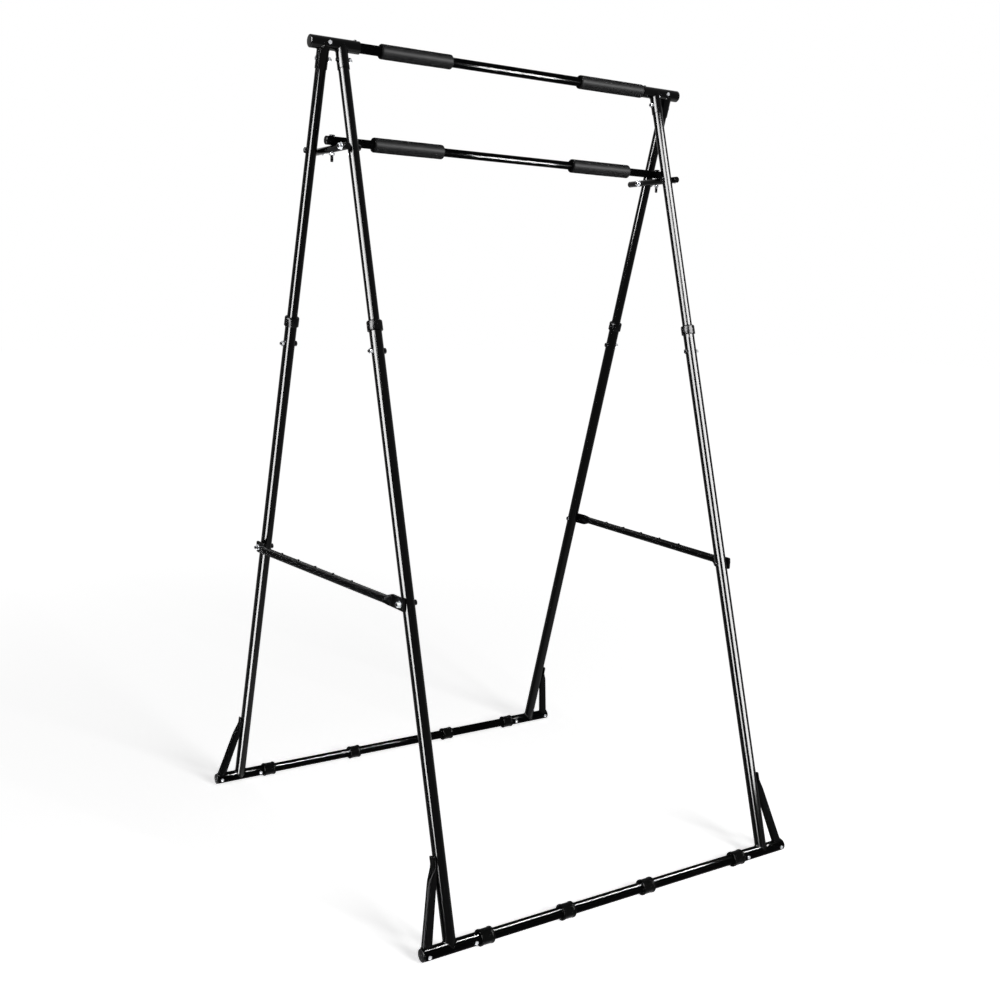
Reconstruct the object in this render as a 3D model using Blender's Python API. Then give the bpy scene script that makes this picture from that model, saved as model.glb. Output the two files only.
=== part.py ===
"""Freestanding pull-up bar: two leaning leg frames that meet at a head tube on each side, a top bar
and a lower bar between the heads, telescoping legs, and a crossbar on the outside of each pair of legs.

Metres, +Z up. X runs along the bars (left is -X), the front is -Y, the floor is z = 0.
Every radius is taken to the flats of a round piece, so that faces that meet are a named gap apart.
"""

from math import atan2, cos, hypot, pi, sin

import bmesh
import bpy
from mathutils import Matrix, Vector

for leftover in list(bpy.data.objects):
    bpy.data.objects.remove(leftover, do_unlink=True)

# The stand as a whole
HEAD_HEIGHT = 2.150  # axis of the top bar above the floor, legs fully out
FOOT_SPREAD = 1.233  # between the axes of the front and rear base tubes
FRONT_LEG_X = 0.511  # centre of the stand to the axis of a front leg
GAP = 0.0003  # between faces that touch
WELD = 0.0008  # how deep a welded piece sinks into the other's wall
BOLT_PLAY = 0.0003  # between a bolt and its hole, on the radius
DRILL_PAST = 0.002  # a drill beyond the faces it goes through
BORE_PAST = 0.010  # a bore's cutter beyond the end of its tube
SHARP_ANGLE = 0.6  # edges that turn more than this, in radians, look hard
HALF_FLAT = 0.5  # flatness of a tube halfway between its round and its crushed part
NEARLY_PARALLEL = 0.1  # a direction across another that is shorter than this is too close to it
ROUND_SIDES = 20
FINE_SIDES = 16
BOLT_SIDES = 12

# Legs
UPPER_LEG_RADIUS = 0.014
UPPER_LEG_WALL = 0.0015
LOWER_LEG_RADIUS = 0.016
SLIDE_PLAY = 0.0003  # between the telescoping tubes, on the radius
LEG_TRAVEL = 0.200  # how far the upper legs draw out of the lower ones
COLLAR_DROP = 0.7036  # down the leg from the head's axis to the collar's top
LOCK_BOLT_BELOW = 0.0761  # from the collar's top down the leg to the lock bolt
UPPER_LEG_TAIL = 0.040  # upper leg below its slot
COLLAR_HEIGHT = 0.026
COLLAR_RADIUS = 0.0198
COLLAR_LIP = 0.004
COLLAR_BEVEL = 0.004
COLLAR_FOOT_BEVEL = 0.001

# Head tubes and the top bar
TOP_BAR_RADIUS = 0.0127
TOP_BAR_WALL = 0.002
TOP_BAR_END_ROOM = 0.0125  # between the end of the bar and the plug of the head's cap
HEAD_RADIUS = 0.016
HEAD_INBOARD = 0.049  # head tube inboard of the front leg's axis
HEAD_OUTBOARD = 0.0349  # head tube outboard of the rear leg's axis
SOCKET_WALL = 0.0014
SOCKET_FLOOR_STEP = 0.001  # from the head tube's flat to the floor of the socket
SOCKET_LENGTH = 0.062  # from the head's axis down the leg
SOCKET_BOLT_DROP = 0.038
SOCKET_BOLT_TIP = {"front": 0.012, "rear": 0.005}
BAR_BOLT_INBOARD = 0.0091  # from the rear leg's axis to the bolt through the head tube and the bar

# Lower bar and its carriers
LOWER_BAR_DROP = 0.2324  # from the top bar's axis down to the lower bar's
LOWER_BAR_RADIUS = 0.011
LOWER_BAR_WALL = 0.0018
LOWER_BAR_OVERHANG = 0.0147  # lower bar beyond the axis of its carrier
CARRIER_RADIUS = 0.009
CARRIER_WALL = 0.0015
CARRIER_FRONT = 0.016  # carrier in front of its front bolt
CARRIER_BACK = 0.050  # carrier behind its rear bolt
SEAT_BOLT_HEAD = 0.0030
SEAT_BOLT_TIP = 0.016

# Foam grips, from the centre of the bar: inner end, outer end
GRIP_RADIUS = 0.019
GRIP_ROUND = 0.003
TOP_GRIP_LEFT = (0.1910, 0.4012)
TOP_GRIP_RIGHT = (0.2314, 0.4590)
LOWER_GRIP = (0.2127, 0.4198)

# Base
BASE_TUBE_RADIUS = 0.014
BASE_TUBE_WALL = 0.0015
STUB_RADIUS = 0.016
STUB_OUTBOARD = 0.0740  # from the leg's axis to the stub's outer end
RING_INBOARD = 0.0975  # from the leg's axis to the middle of the ring at the stub's mouth
RING_RADIUS = 0.0205
RING_LENGTH = 0.038
RING_BEVEL = 0.003
MIDDLE_RING_X = {"front": (-0.171, 0.089), "rear": (-0.155, 0.206)}

# Foot braces: outboard of the leg's axis and up the leg from the base tube's axis
BRACE_RADIUS = 0.010
BRACE_WALL = 0.0015
BRACE_FOOT_OFFSET = 0.0615
BRACE_KINK_OFFSET = 0.030
BRACE_KINK_RISE = 0.155
BRACE_TOP_RISE = 0.218
BRACE_FLAT_HALF = (0.004, 0.014)  # half thickness and half width of the flattened end
BRACE_FLAT_LENGTH = 0.040
BRACE_BLEND = 0.010  # length of the crushed part before it is fully flat
BRACE_SWELL = 0.001  # how much thicker and narrower the crushed part begins
BRACE_SIDES = 12

# Crossbars
CROSSBAR_HEIGHT = 0.804
CROSSBAR_RADIUS = 0.011
CROSSBAR_WALL = 0.0015
CROSSBAR_TAB_HALF = (0.0035, 0.0165)  # half thickness and half height of the flattened end
CROSSBAR_TAB_END = 0.0145  # tab beyond its bolt
CROSSBAR_TAB_LENGTH = 0.040  # flat part on the other side of the bolt
CROSSBAR_TAB_BLEND = 0.020  # from flat to round
CRUSHED_SIDES = 16  # of tubes with crushed ends
PLUG_HOLE_RADIUS = 0.0025
PLUG_START = 0.165  # rear bolt to the first plug hole in the top of the crossbar
PLUG_PITCH = 0.0968
PLUG_COUNT = 5

# Fasteners
BOLT_RADIUS = 0.004
BOLT_HEAD_FLATS = 0.0065  # half of the size across the flats
BOLT_HEAD_HEIGHT = 0.0053
NUT_HEIGHT = 0.0065
WASHER_RADIUS = 0.0085
WASHER_THICKNESS = 0.0014
CARRIER_WASHER_RADIUS = 0.0095
BOLT_TIP = 0.004
BOLT_CHAMFER = 0.001
CAP_RIM = 0.004
CAP_PLUG = 0.016
CAP_PLUG_TAPER = (0.001, 0.002)  # on the radius and along the plug
HEAD_CAP_DOME = 0.003
BASE_CAP_DOME = 0.002

# Worked out from the sizes above
BASE_HEIGHT = RING_RADIUS
LEAN = atan2(FOOT_SPREAD / 2, HEAD_HEIGHT - BASE_HEIGHT)
LEG_LENGTH = hypot(FOOT_SPREAD / 2, HEAD_HEIGHT - BASE_HEIGHT)
LOCK_BOLT_DROP = COLLAR_DROP + LOCK_BOLT_BELOW
REAR_LEG_X = FRONT_LEG_X + 2 * UPPER_LEG_RADIUS + 2 * CARRIER_RADIUS + 2 * GAP
CARRIER_X = FRONT_LEG_X + UPPER_LEG_RADIUS + GAP + CARRIER_RADIUS
HEAD_INNER_X = FRONT_LEG_X - HEAD_INBOARD
HEAD_OUTER_X = REAR_LEG_X + HEAD_OUTBOARD
TOP_BAR_REACH = HEAD_OUTER_X - CAP_PLUG - TOP_BAR_END_ROOM
BAR_BOLT_X = REAR_LEG_X - BAR_BOLT_INBOARD
LOWER_BAR_REACH = CARRIER_X + LOWER_BAR_OVERHANG
LOWER_BAR_HEIGHT = HEAD_HEIGHT - LOWER_BAR_DROP
CARRIER_HEIGHT = LOWER_BAR_HEIGHT - LOWER_BAR_RADIUS - GAP - CARRIER_RADIUS
CARRIER_DROP = (HEAD_HEIGHT - CARRIER_HEIGHT) / cos(LEAN)
CARRIER_BOLT_Y = CARRIER_DROP * sin(LEAN)
CROSSBAR_DROP = (HEAD_HEIGHT - CROSSBAR_HEIGHT) / cos(LEAN)
CROSSBAR_BOLT_Y = CROSSBAR_DROP * sin(LEAN)
LOWER_LEG_BORE = UPPER_LEG_RADIUS + SLIDE_PLAY
STUB_BORE = BASE_TUBE_RADIUS + GAP
HEAD_BORE = TOP_BAR_RADIUS + GAP
SOCKET_BORE = UPPER_LEG_RADIUS + GAP
SOCKET_RADIUS = SOCKET_BORE + SOCKET_WALL
SOCKET_FLOOR = HEAD_RADIUS + SOCKET_FLOOR_STEP
HOLE_RADIUS = BOLT_RADIUS + BOLT_PLAY

LEG_X = {"front": FRONT_LEG_X, "rear": REAR_LEG_X}
TOWARDS = {"front": -1, "rear": 1}
SIDES = {"left": -1, "right": 1}
X, Y, Z = Vector((1, 0, 0)), Vector((0, 1, 0)), Vector((0, 0, 1))


def leg_down(end):
    """The direction down a leg of the front or the rear frame."""
    return Vector((0, TOWARDS[end] * sin(LEAN), -cos(LEAN)))


def leg_point(end, side, drop):
    """The point on a leg's axis at a distance down from the head's axis."""
    return Vector((SIDES[side] * LEG_X[end], 0, HEAD_HEIGHT)) + leg_down(end) * drop


def base_point(end, x):
    """A point on the axis of the front or the rear base tube."""
    return Vector((x, TOWARDS[end] * FOOT_SPREAD / 2, BASE_HEIGHT))


# Colours, each with the roughness and metallic value of its finish
def finish(name, colour, roughness, metallic):
    material = bpy.data.materials.new(name)
    material.use_nodes = True
    shader = material.node_tree.nodes["Principled BSDF"]
    shader.inputs["Base Color"].default_value = (*colour, 1)
    shader.inputs["Roughness"].default_value = roughness
    shader.inputs["Metallic"].default_value = metallic
    material.diffuse_color = (*colour, 1)
    return material


FINISHES = {
    "black_enamel": ((0.012, 0.012, 0.013), 0.22, 0.0),
    "grip_foam": ((0.055, 0.055, 0.057), 0.85, 0.0),
    "black_plastic": ((0.018, 0.018, 0.019), 0.45, 0.0),
    "floor_rubber": ((0.022, 0.022, 0.023), 0.70, 0.0),
    "bright_zinc": ((0.78, 0.79, 0.80), 0.25, 1.0),
}


# Frames that carry the pieces, one for each part of the stand that moves as a whole
def frame(name, at):
    empty = bpy.data.objects.new(name, None)
    empty.location = at
    bpy.context.scene.collection.objects.link(empty)
    return empty


REAR_BASE = frame("rear_base_frame", base_point("rear", 0))
UPPER = frame("upper_frame", Vector((0, 0, HEAD_HEIGHT)))
FRONT_BASE = frame("front_base_frame", base_point("front", 0))
PIVOTS = {
    side: frame(
        f"crossbar_pivot_{side}",
        leg_point("rear", side, CROSSBAR_DROP) + X * sign * (LOWER_LEG_RADIUS + GAP),
    )
    for side, sign in SIDES.items()
}
BASES = {"front": FRONT_BASE, "rear": REAR_BASE}


def pose(at, along, across=X):
    """A matrix with its Z along a direction and its X as near as it can be to another."""
    z = Vector(along).normalized()
    x = across - z * across.dot(z)
    if x.length < NEARLY_PARALLEL:
        x = Y - z * Y.dot(z)
    x.normalize()
    turned_axes = Matrix((x, z.cross(x), z)).transposed().to_4x4()
    return Matrix.Translation(at) @ turned_axes


def add(name, mesh_data, place, carrier, material):
    """Hangs a finished mesh on its frame, at its place in the stand."""
    mesh = bpy.data.meshes.new(name)
    mesh_data.normal_update()
    mesh_data.to_mesh(mesh)
    mesh_data.free()
    mesh.shade_smooth()
    mesh.set_sharp_from_angle(angle=SHARP_ANGLE)
    piece = bpy.data.objects.new(name, mesh)
    local = Matrix.Translation(-carrier.location) @ place
    piece.location = local.to_translation()
    piece.rotation_euler = local.to_euler()
    piece.parent = carrier
    colour, roughness, metallic = FINISHES[material]
    mesh.materials.append(finish(name, colour, roughness, metallic))
    bpy.context.scene.collection.objects.link(piece)
    return piece


def turned(profile, sides=ROUND_SIDES, closed=False, hexagon=None):
    """Spins (radius, height) points about Z. Radii are to the flats. Those equal to hexagon become
    six-sided."""
    shape = bmesh.new()
    first, step = pi / sides, 2 * pi / sides
    spread = 1 / cos(step / 2)
    points = [
        shape.verts.new((r * spread * cos(first), r * spread * sin(first), z)) for r, z in profile
    ]
    pairs = list(zip(points, points[1:]))
    if closed:
        pairs.append((points[-1], points[0]))
    edges = [shape.edges.new(pair) for pair in pairs]
    bmesh.ops.spin(
        shape, geom=points + edges, cent=(0, 0, 0), axis=(0, 0, 1), angle=2 * pi, steps=sides,
        use_merge=True,
    )
    bmesh.ops.remove_doubles(shape, verts=shape.verts, dist=1e-6)
    for vertex in shape.verts:
        radius = hypot(vertex.co.x, vertex.co.y) / spread
        if hexagon and abs(radius - hexagon) < 1e-6:
            number = round((atan2(vertex.co.y, vertex.co.x) - first) / step)
            wanted = radius / cos(pi / 6) if number % 2 else radius
            vertex.co.xy *= wanted / (radius * spread)
    bmesh.ops.recalc_face_normals(shape, faces=shape.faces)
    return shape


def tube(outer, inner, start, stop, sides=ROUND_SIDES, bevel=0.0):
    """A hollow round tube along Z, with its outer edges broken by a bevel."""
    if bevel:
        outline = [
            (inner, start), (outer - bevel, start), (outer, start + bevel),
            (outer, stop - bevel), (outer - bevel, stop), (inner, stop),
        ]
    else:
        outline = [(inner, start), (outer, start), (outer, stop), (inner, stop)]
    return turned(outline, sides, closed=True)


def rod(radius, start, stop, sides=ROUND_SIDES):
    """A solid round bar along Z."""
    return turned([(0, start), (radius, start), (radius, stop), (0, stop)], sides)


def lofted(outlines):
    """A closed solid through outlines of equal point counts."""
    shape = bmesh.new()
    loops = [[shape.verts.new(point) for point in outline] for outline in outlines]
    for loop, following in zip(loops, loops[1:]):
        for i, vertex in enumerate(loop):
            j = (i + 1) % len(loop)
            shape.faces.new((vertex, loop[j], following[j], following[i]))
    shape.faces.new(loops[0])
    shape.faces.new(loops[-1])
    bmesh.ops.recalc_face_normals(shape, faces=shape.faces)
    return shape


def flattened(centre, thick, wide, a, b, square, sides):
    """An outline of half thickness a and half width b; square is 0 for an ellipse, 1 for flat sides."""
    power = 2 / (2 + 3 * square)
    points = []
    for i in range(sides):
        turn = (i + 0.5) * 2 * pi / sides
        across = abs(cos(turn)) ** power * (1 if cos(turn) > 0 else -1)
        along = abs(sin(turn)) ** power * (1 if sin(turn) > 0 else -1)
        points.append(centre + thick * (a * across) + wide * (b * along))
    return points


def slot(start, stop, radius, reach):
    """A round-ended slot along Z that cuts through along X."""
    half = BOLT_SIDES // 2
    turns = [(pi + i * pi / half, start) for i in range(half + 1)]
    turns += [(i * pi / half, stop) for i in range(half + 1)]
    rim = [Vector((0, radius * cos(turn), z + radius * sin(turn))) for turn, z in turns]
    return lofted([[point + X * x for point in rim] for x in (-reach, reach)])


def cutter(name, solids):
    """Solids that only cut or join, left out of the model itself."""
    joined = bmesh.new()
    for shape, matrix in solids:
        bmesh.ops.transform(shape, matrix=matrix, verts=shape.verts)
        one = bpy.data.meshes.new(name)
        shape.to_mesh(one)
        shape.free()
        joined.from_mesh(one)
        bpy.data.meshes.remove(one)
    mesh = bpy.data.meshes.new(name)
    joined.to_mesh(mesh)
    joined.free()
    tool = bpy.data.objects.new(name, mesh)
    tool.hide_render = True
    tool.display_type = "WIRE"
    bpy.context.scene.collection.objects.link(tool)
    return tool


def combine(piece, operation, solids):
    """Cuts solids from a piece, or joins them to it."""
    step = piece.modifiers.new(operation.lower(), "BOOLEAN")
    step.operation = operation
    step.solver = "EXACT"
    step.object = cutter(f"{piece.name}_{operation.lower()}_{len(piece.modifiers)}", solids)


def hole(at, along, start, stop, radius=HOLE_RADIUS):
    """A drill from one distance to another along a direction from a point."""
    return rod(radius, start, stop, BOLT_SIDES), pose(at, along)


def fastener(
    name, at, along, grip, carrier, head=BOLT_HEAD_HEIGHT, tip=BOLT_TIP, washer=0.0, nut=True
):
    """A hexagon bolt through a stack of pieces that starts at a point, with its nut and washer made up
    on it. Without a nut the shank ends where the stack does."""
    outline = [
        (0, -GAP - head), (BOLT_HEAD_FLATS, -GAP - head), (BOLT_HEAD_FLATS, -GAP), (BOLT_RADIUS, -GAP),
    ]
    end = grip
    if nut:
        seat = grip + GAP
        outline.append((BOLT_RADIUS, seat))
        if washer:
            outline += [(washer, seat), (washer, seat + WASHER_THICKNESS)]
            seat += WASHER_THICKNESS
        outline += [(BOLT_HEAD_FLATS, seat), (BOLT_HEAD_FLATS, seat + NUT_HEIGHT)]
        outline.append((BOLT_RADIUS, seat + NUT_HEIGHT))
        end = seat + NUT_HEIGHT + tip
    outline += [(BOLT_RADIUS, end - BOLT_CHAMFER), (BOLT_RADIUS - BOLT_CHAMFER, end), (0, end)]
    shape = turned(outline, BOLT_SIDES, hexagon=BOLT_HEAD_FLATS)
    return add(name, shape, pose(at, along), carrier, "bright_zinc")


def end_cap(name, at, along, radius, bore, dome, carrier):
    """A plastic cap: a plug inside the tube and a domed rim over its end."""
    narrower, taper = CAP_PLUG_TAPER
    top = GAP + CAP_RIM
    shape = turned(
        [
            (0, -CAP_PLUG), (bore - narrower, -CAP_PLUG), (bore, -CAP_PLUG + taper), (bore, GAP),
            (radius, GAP), (radius, top - dome), (radius - dome, top), (0, top),
        ],
        FINE_SIDES,
    )
    return add(name, shape, pose(at, along), carrier, "black_plastic")


def top_bar():
    """The pull-up bar, drilled for the bolts that hold it in the head tubes."""
    shape = tube(TOP_BAR_RADIUS, TOP_BAR_RADIUS - TOP_BAR_WALL, -TOP_BAR_REACH, TOP_BAR_REACH)
    centre = Vector((0, 0, HEAD_HEIGHT))
    piece = add("top_bar", shape, pose(centre, X), UPPER, "black_enamel")
    reach = TOP_BAR_RADIUS + DRILL_PAST
    bolts = [centre + X * sign * BAR_BOLT_X for sign in SIDES.values()]
    combine(piece, "DIFFERENCE", [hole(at, Y, -reach, reach) for at in bolts])


def lower_bar():
    """The lower bar, drilled for the bolts that hold it on its carriers."""
    shape = tube(LOWER_BAR_RADIUS, LOWER_BAR_RADIUS - LOWER_BAR_WALL, -LOWER_BAR_REACH, LOWER_BAR_REACH)
    centre = Vector((0, 0, LOWER_BAR_HEIGHT))
    piece = add("lower_bar", shape, pose(centre, X), UPPER, "black_enamel")
    reach = LOWER_BAR_RADIUS + DRILL_PAST
    bolts = [centre + X * sign * CARRIER_X for sign in SIDES.values()]
    combine(piece, "DIFFERENCE", [hole(at, Z, -reach, reach) for at in bolts])


def foam_grip(name, height, bar_radius, side, span):
    """A foam sleeve on a bar, between two distances from the bar's middle."""
    shape = tube(GRIP_RADIUS, bar_radius + GAP, *span, bevel=GRIP_ROUND)
    add(name, shape, pose(Vector((0, 0, height)), X * SIDES[side]), UPPER, "grip_foam")


def head(side):
    """A head tube with its two leg sockets welded on, its end cap and its bolts."""
    out = X * SIDES[side]
    centre = Vector((0, 0, HEAD_HEIGHT))
    place = pose(centre, out)
    shape = rod(HEAD_RADIUS, HEAD_INNER_X, HEAD_OUTER_X)
    piece = add(f"head_{side}", shape, place, UPPER, "black_enamel")
    bores = [(rod(HEAD_BORE, HEAD_INNER_X - BORE_PAST, HEAD_OUTER_X + BORE_PAST), place)]
    bar_bolt_at = centre + out * BAR_BOLT_X - Y * HEAD_RADIUS
    holes = [hole(bar_bolt_at, Y, -DRILL_PAST, HEAD_RADIUS / 2)]
    for end in TOWARDS:
        at = leg_point(end, side, 0)
        down = pose(at, leg_down(end))
        combine(piece, "UNION", [(rod(SOCKET_RADIUS, 0, SOCKET_LENGTH), down)])
        bores.append((rod(SOCKET_BORE, SOCKET_FLOOR, SOCKET_LENGTH + BORE_PAST), down))
        bolt_at = leg_point(end, side, SOCKET_BOLT_DROP) + out * SOCKET_RADIUS
        grip = 2 * SOCKET_RADIUS
        holes.append(hole(bolt_at, -out, -DRILL_PAST, grip + DRILL_PAST))
        name = f"socket_bolt_{end}_{side}"
        fastener(name, bolt_at, -out, grip, UPPER, tip=SOCKET_BOLT_TIP[end])
    for cut in bores + holes:
        combine(piece, "DIFFERENCE", [cut])
    cap_at = centre + out * HEAD_OUTER_X
    end_cap(f"head_cap_{side}", cap_at, out, HEAD_RADIUS, HEAD_BORE - GAP, HEAD_CAP_DOME, UPPER)
    bar_bolt_grip = HEAD_RADIUS + TOP_BAR_RADIUS - TOP_BAR_WALL / 2
    fastener(f"bar_bolt_{side}", bar_bolt_at, Y, bar_bolt_grip, UPPER, nut=False)


def upper_leg(end, side):
    """An upper leg tube with its bolt holes and the slot that the lock bolt runs in."""
    tail = LOCK_BOLT_DROP + LEG_TRAVEL + UPPER_LEG_TAIL
    shape = tube(UPPER_LEG_RADIUS, UPPER_LEG_RADIUS - UPPER_LEG_WALL, SOCKET_FLOOR + GAP, tail)
    place = pose(leg_point(end, side, 0), leg_down(end))
    piece = add(f"upper_leg_{end}_{side}", shape, place, UPPER, "black_enamel")
    reach = UPPER_LEG_RADIUS + DRILL_PAST
    cuts = [
        hole(leg_point(end, side, drop), X, -reach, reach) for drop in (SOCKET_BOLT_DROP, CARRIER_DROP)
    ]
    cuts.append((slot(LOCK_BOLT_DROP, LOCK_BOLT_DROP + LEG_TRAVEL, HOLE_RADIUS, reach), place))
    combine(piece, "DIFFERENCE", cuts)


def bar_carrier(side):
    """A short tube between a front and a rear leg that the lower bar rests on, with its bolts."""
    out = X * SIDES[side]
    at = out * CARRIER_X + Z * CARRIER_HEIGHT
    start, stop = -CARRIER_BOLT_Y - CARRIER_FRONT, CARRIER_BOLT_Y + CARRIER_BACK
    shape = tube(CARRIER_RADIUS, CARRIER_RADIUS - CARRIER_WALL, start, stop, FINE_SIDES)
    piece = add(f"bar_carrier_{side}", shape, pose(at, Y), UPPER, "black_enamel")
    reach = CARRIER_RADIUS + DRILL_PAST
    holes = [hole(at + Y * y, X, -reach, reach) for y in (-CARRIER_BOLT_Y, CARRIER_BOLT_Y)]
    combine(piece, "DIFFERENCE", holes + [hole(at, Z, -reach, reach)])
    grip = 2 * UPPER_LEG_RADIUS + GAP + 2 * CARRIER_RADIUS
    for end, way in (("front", out), ("rear", -out)):
        bolt_at = leg_point(end, side, CARRIER_DROP) - way * UPPER_LEG_RADIUS
        name = f"carrier_bolt_{end}_{side}"
        fastener(name, bolt_at, way, grip, UPPER, washer=CARRIER_WASHER_RADIUS)
    seat_at = out * CARRIER_X + Z * (LOWER_BAR_HEIGHT + LOWER_BAR_RADIUS)
    stack = 2 * LOWER_BAR_RADIUS + GAP + 2 * CARRIER_RADIUS
    name = f"seat_bolt_{side}"
    fastener(name, seat_at, -Z, stack, UPPER, head=SEAT_BOLT_HEAD, tip=SEAT_BOLT_TIP)


def brace_outlines(foot, out, up, thinner, stations):
    """A foot brace's sections: from the stub's outer end to a kink, then crushed flat along the leg."""
    half_thick, half_wide = BRACE_FLAT_HALF
    offset = LOWER_LEG_RADIUS - WELD + half_thick
    swollen = half_thick + BRACE_SWELL
    run = Vector((BRACE_KINK_OFFSET - BRACE_FOOT_OFFSET, BRACE_KINK_RISE)).normalized()
    across = out * run.y - up * run.x
    flat_start = BRACE_TOP_RISE - BRACE_FLAT_LENGTH
    rows = [
        (BRACE_FOOT_OFFSET, 0.0, across, BRACE_RADIUS, BRACE_RADIUS, 0.0),
        (BRACE_KINK_OFFSET, BRACE_KINK_RISE, across + out, BRACE_RADIUS, BRACE_RADIUS, 0.0),
        (offset + 2 * BRACE_SWELL, flat_start, out, swollen, half_wide - BRACE_SWELL, HALF_FLAT),
        (offset, flat_start + BRACE_BLEND, out, half_thick, half_wide, 1.0),
        (offset, BRACE_TOP_RISE, out, half_thick, half_wide, 1.0),
    ]
    return [
        flattened(
            foot + out * aside + up * rise, thick.normalized(), out.cross(up), a - thinner, b - thinner,
            square, BRACE_SIDES,
        )
        for aside, rise, thick, a, b, square in rows[:stations]
    ]


def lower_leg(end, side):
    """A lower leg tube with its foot stub and brace welded on, and the holes for its bolts."""
    out, up = X * SIDES[side], -leg_down(end)
    foot = base_point(end, SIDES[side] * LEG_X[end])
    across_leg = LOWER_LEG_RADIUS + DRILL_PAST
    shape = tube(LOWER_LEG_RADIUS, LOWER_LEG_BORE, COLLAR_DROP + COLLAR_LIP + GAP, LEG_LENGTH)
    place = pose(leg_point(end, side, 0), leg_down(end))
    piece = add(f"lower_leg_{end}_{side}", shape, place, BASES[end], "black_enamel")
    identity = Matrix.Identity(4)
    combine(piece, "UNION", [(lofted(brace_outlines(foot, out, up, 0.0, 5)), identity)])
    reach = STUB_OUTBOARD + BORE_PAST
    combine(piece, "DIFFERENCE", [(rod(STUB_RADIUS - WELD, -reach, reach), pose(foot, out))])
    mouth = -RING_INBOARD + RING_LENGTH / 2 + GAP
    combine(piece, "UNION", [(tube(STUB_RADIUS, STUB_BORE, mouth, STUB_OUTBOARD), pose(foot, out))])
    cuts = [
        hole(leg_point(end, side, drop), X, -across_leg, across_leg)
        for drop in (LOCK_BOLT_DROP, CROSSBAR_DROP)
    ]
    cuts.append((lofted(brace_outlines(foot, out, up, BRACE_WALL, 3)), identity))
    combine(piece, "DIFFERENCE", cuts)


def leg_collar(end, side):
    """The plastic collar that guides the upper leg at the top of a lower one."""
    inside, lip = LOWER_LEG_RADIUS + GAP, UPPER_LEG_RADIUS + SLIDE_PLAY
    top, bottom = COLLAR_DROP, COLLAR_DROP + COLLAR_HEIGHT
    outline = [
        (lip, top), (COLLAR_RADIUS - COLLAR_BEVEL, top), (COLLAR_RADIUS, top + COLLAR_BEVEL),
        (COLLAR_RADIUS, bottom - COLLAR_FOOT_BEVEL), (COLLAR_RADIUS - COLLAR_FOOT_BEVEL, bottom),
        (inside, bottom),
        (inside, top + COLLAR_LIP), (lip, top + COLLAR_LIP),
    ]
    shape = turned(outline, closed=True)
    place = pose(leg_point(end, side, 0), leg_down(end))
    add(f"leg_collar_{end}_{side}", shape, place, BASES[end], "black_plastic")


def leg_bolts(end, side):
    """The bolt that locks a leg's height and the bolt that holds the crossbar on it."""
    out = X * SIDES[side]
    width = 2 * LOWER_LEG_RADIUS
    inboard = out * LOWER_LEG_RADIUS
    lock_at = leg_point(end, side, LOCK_BOLT_DROP) - inboard
    fastener(f"lock_bolt_{end}_{side}", lock_at, out, width, BASES[end])
    at = leg_point(end, side, CROSSBAR_DROP) - inboard
    if end == "rear":
        grip = width + GAP + 2 * CROSSBAR_TAB_HALF[0]
        fastener(f"crossbar_bolt_rear_{side}", at, out, grip, BASES[end], washer=WASHER_RADIUS)
    else:
        fastener(f"crossbar_bolt_front_{side}", at, out, width, BASES[end], nut=False)


def base_tube(end):
    """The tube along the floor through both foot stubs, with its rubber rings and end caps."""
    reach = LEG_X[end] + STUB_OUTBOARD
    shape = tube(BASE_TUBE_RADIUS, BASE_TUBE_RADIUS - BASE_TUBE_WALL, -reach, reach)
    add(f"base_tube_{end}", shape, pose(base_point(end, 0), X), BASES[end], "black_enamel")
    mouth = LEG_X[end] - RING_INBOARD
    inner_left, inner_right = MIDDLE_RING_X[end]
    half = RING_LENGTH / 2
    places = {"left": -mouth, "mid_left": inner_left, "mid_right": inner_right, "right": mouth}
    for where, x in places.items():
        ring = tube(RING_RADIUS, BASE_TUBE_RADIUS + GAP, -half, half, bevel=RING_BEVEL)
        add(f"floor_ring_{end}_{where}", ring, pose(base_point(end, x), X), BASES[end], "floor_rubber")
    bore = BASE_TUBE_RADIUS - BASE_TUBE_WALL - GAP
    for side, sign in SIDES.items():
        at = base_point(end, sign * reach)
        name = f"base_cap_{end}_{side}"
        end_cap(name, at, X * sign, STUB_RADIUS, bore, BASE_CAP_DOME, BASES[end])


def crossbar_stations(thinner=0.0):
    """The crossbar's sections from its rear end forward: run, offset, half sizes and flatness."""
    length = 2 * CROSSBAR_BOLT_Y
    thick, high = CROSSBAR_TAB_HALF
    flat, blended = CROSSBAR_TAB_LENGTH, CROSSBAR_TAB_LENGTH + CROSSBAR_TAB_BLEND
    half = [
        (-CROSSBAR_TAB_END, thick, high, 1.0),
        (flat, thick, high, 1.0),
        ((flat + blended) / 2, (thick + CROSSBAR_RADIUS) / 2, (high + CROSSBAR_RADIUS) / 2, HALF_FLAT),
        (blended, CROSSBAR_RADIUS, CROSSBAR_RADIUS, 0.0),
    ]
    rows = half + [(length - run, a, b, square) for run, a, b, square in reversed(half)]
    step_in = REAR_LEG_X - FRONT_LEG_X
    stations = []
    for run, a, b, square in rows:
        share = min(max((run - flat) / (length - 2 * flat), 0.0), 1.0)
        stations.append((run, a - step_in * share, a - thinner, b - thinner, square))
    return stations


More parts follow.
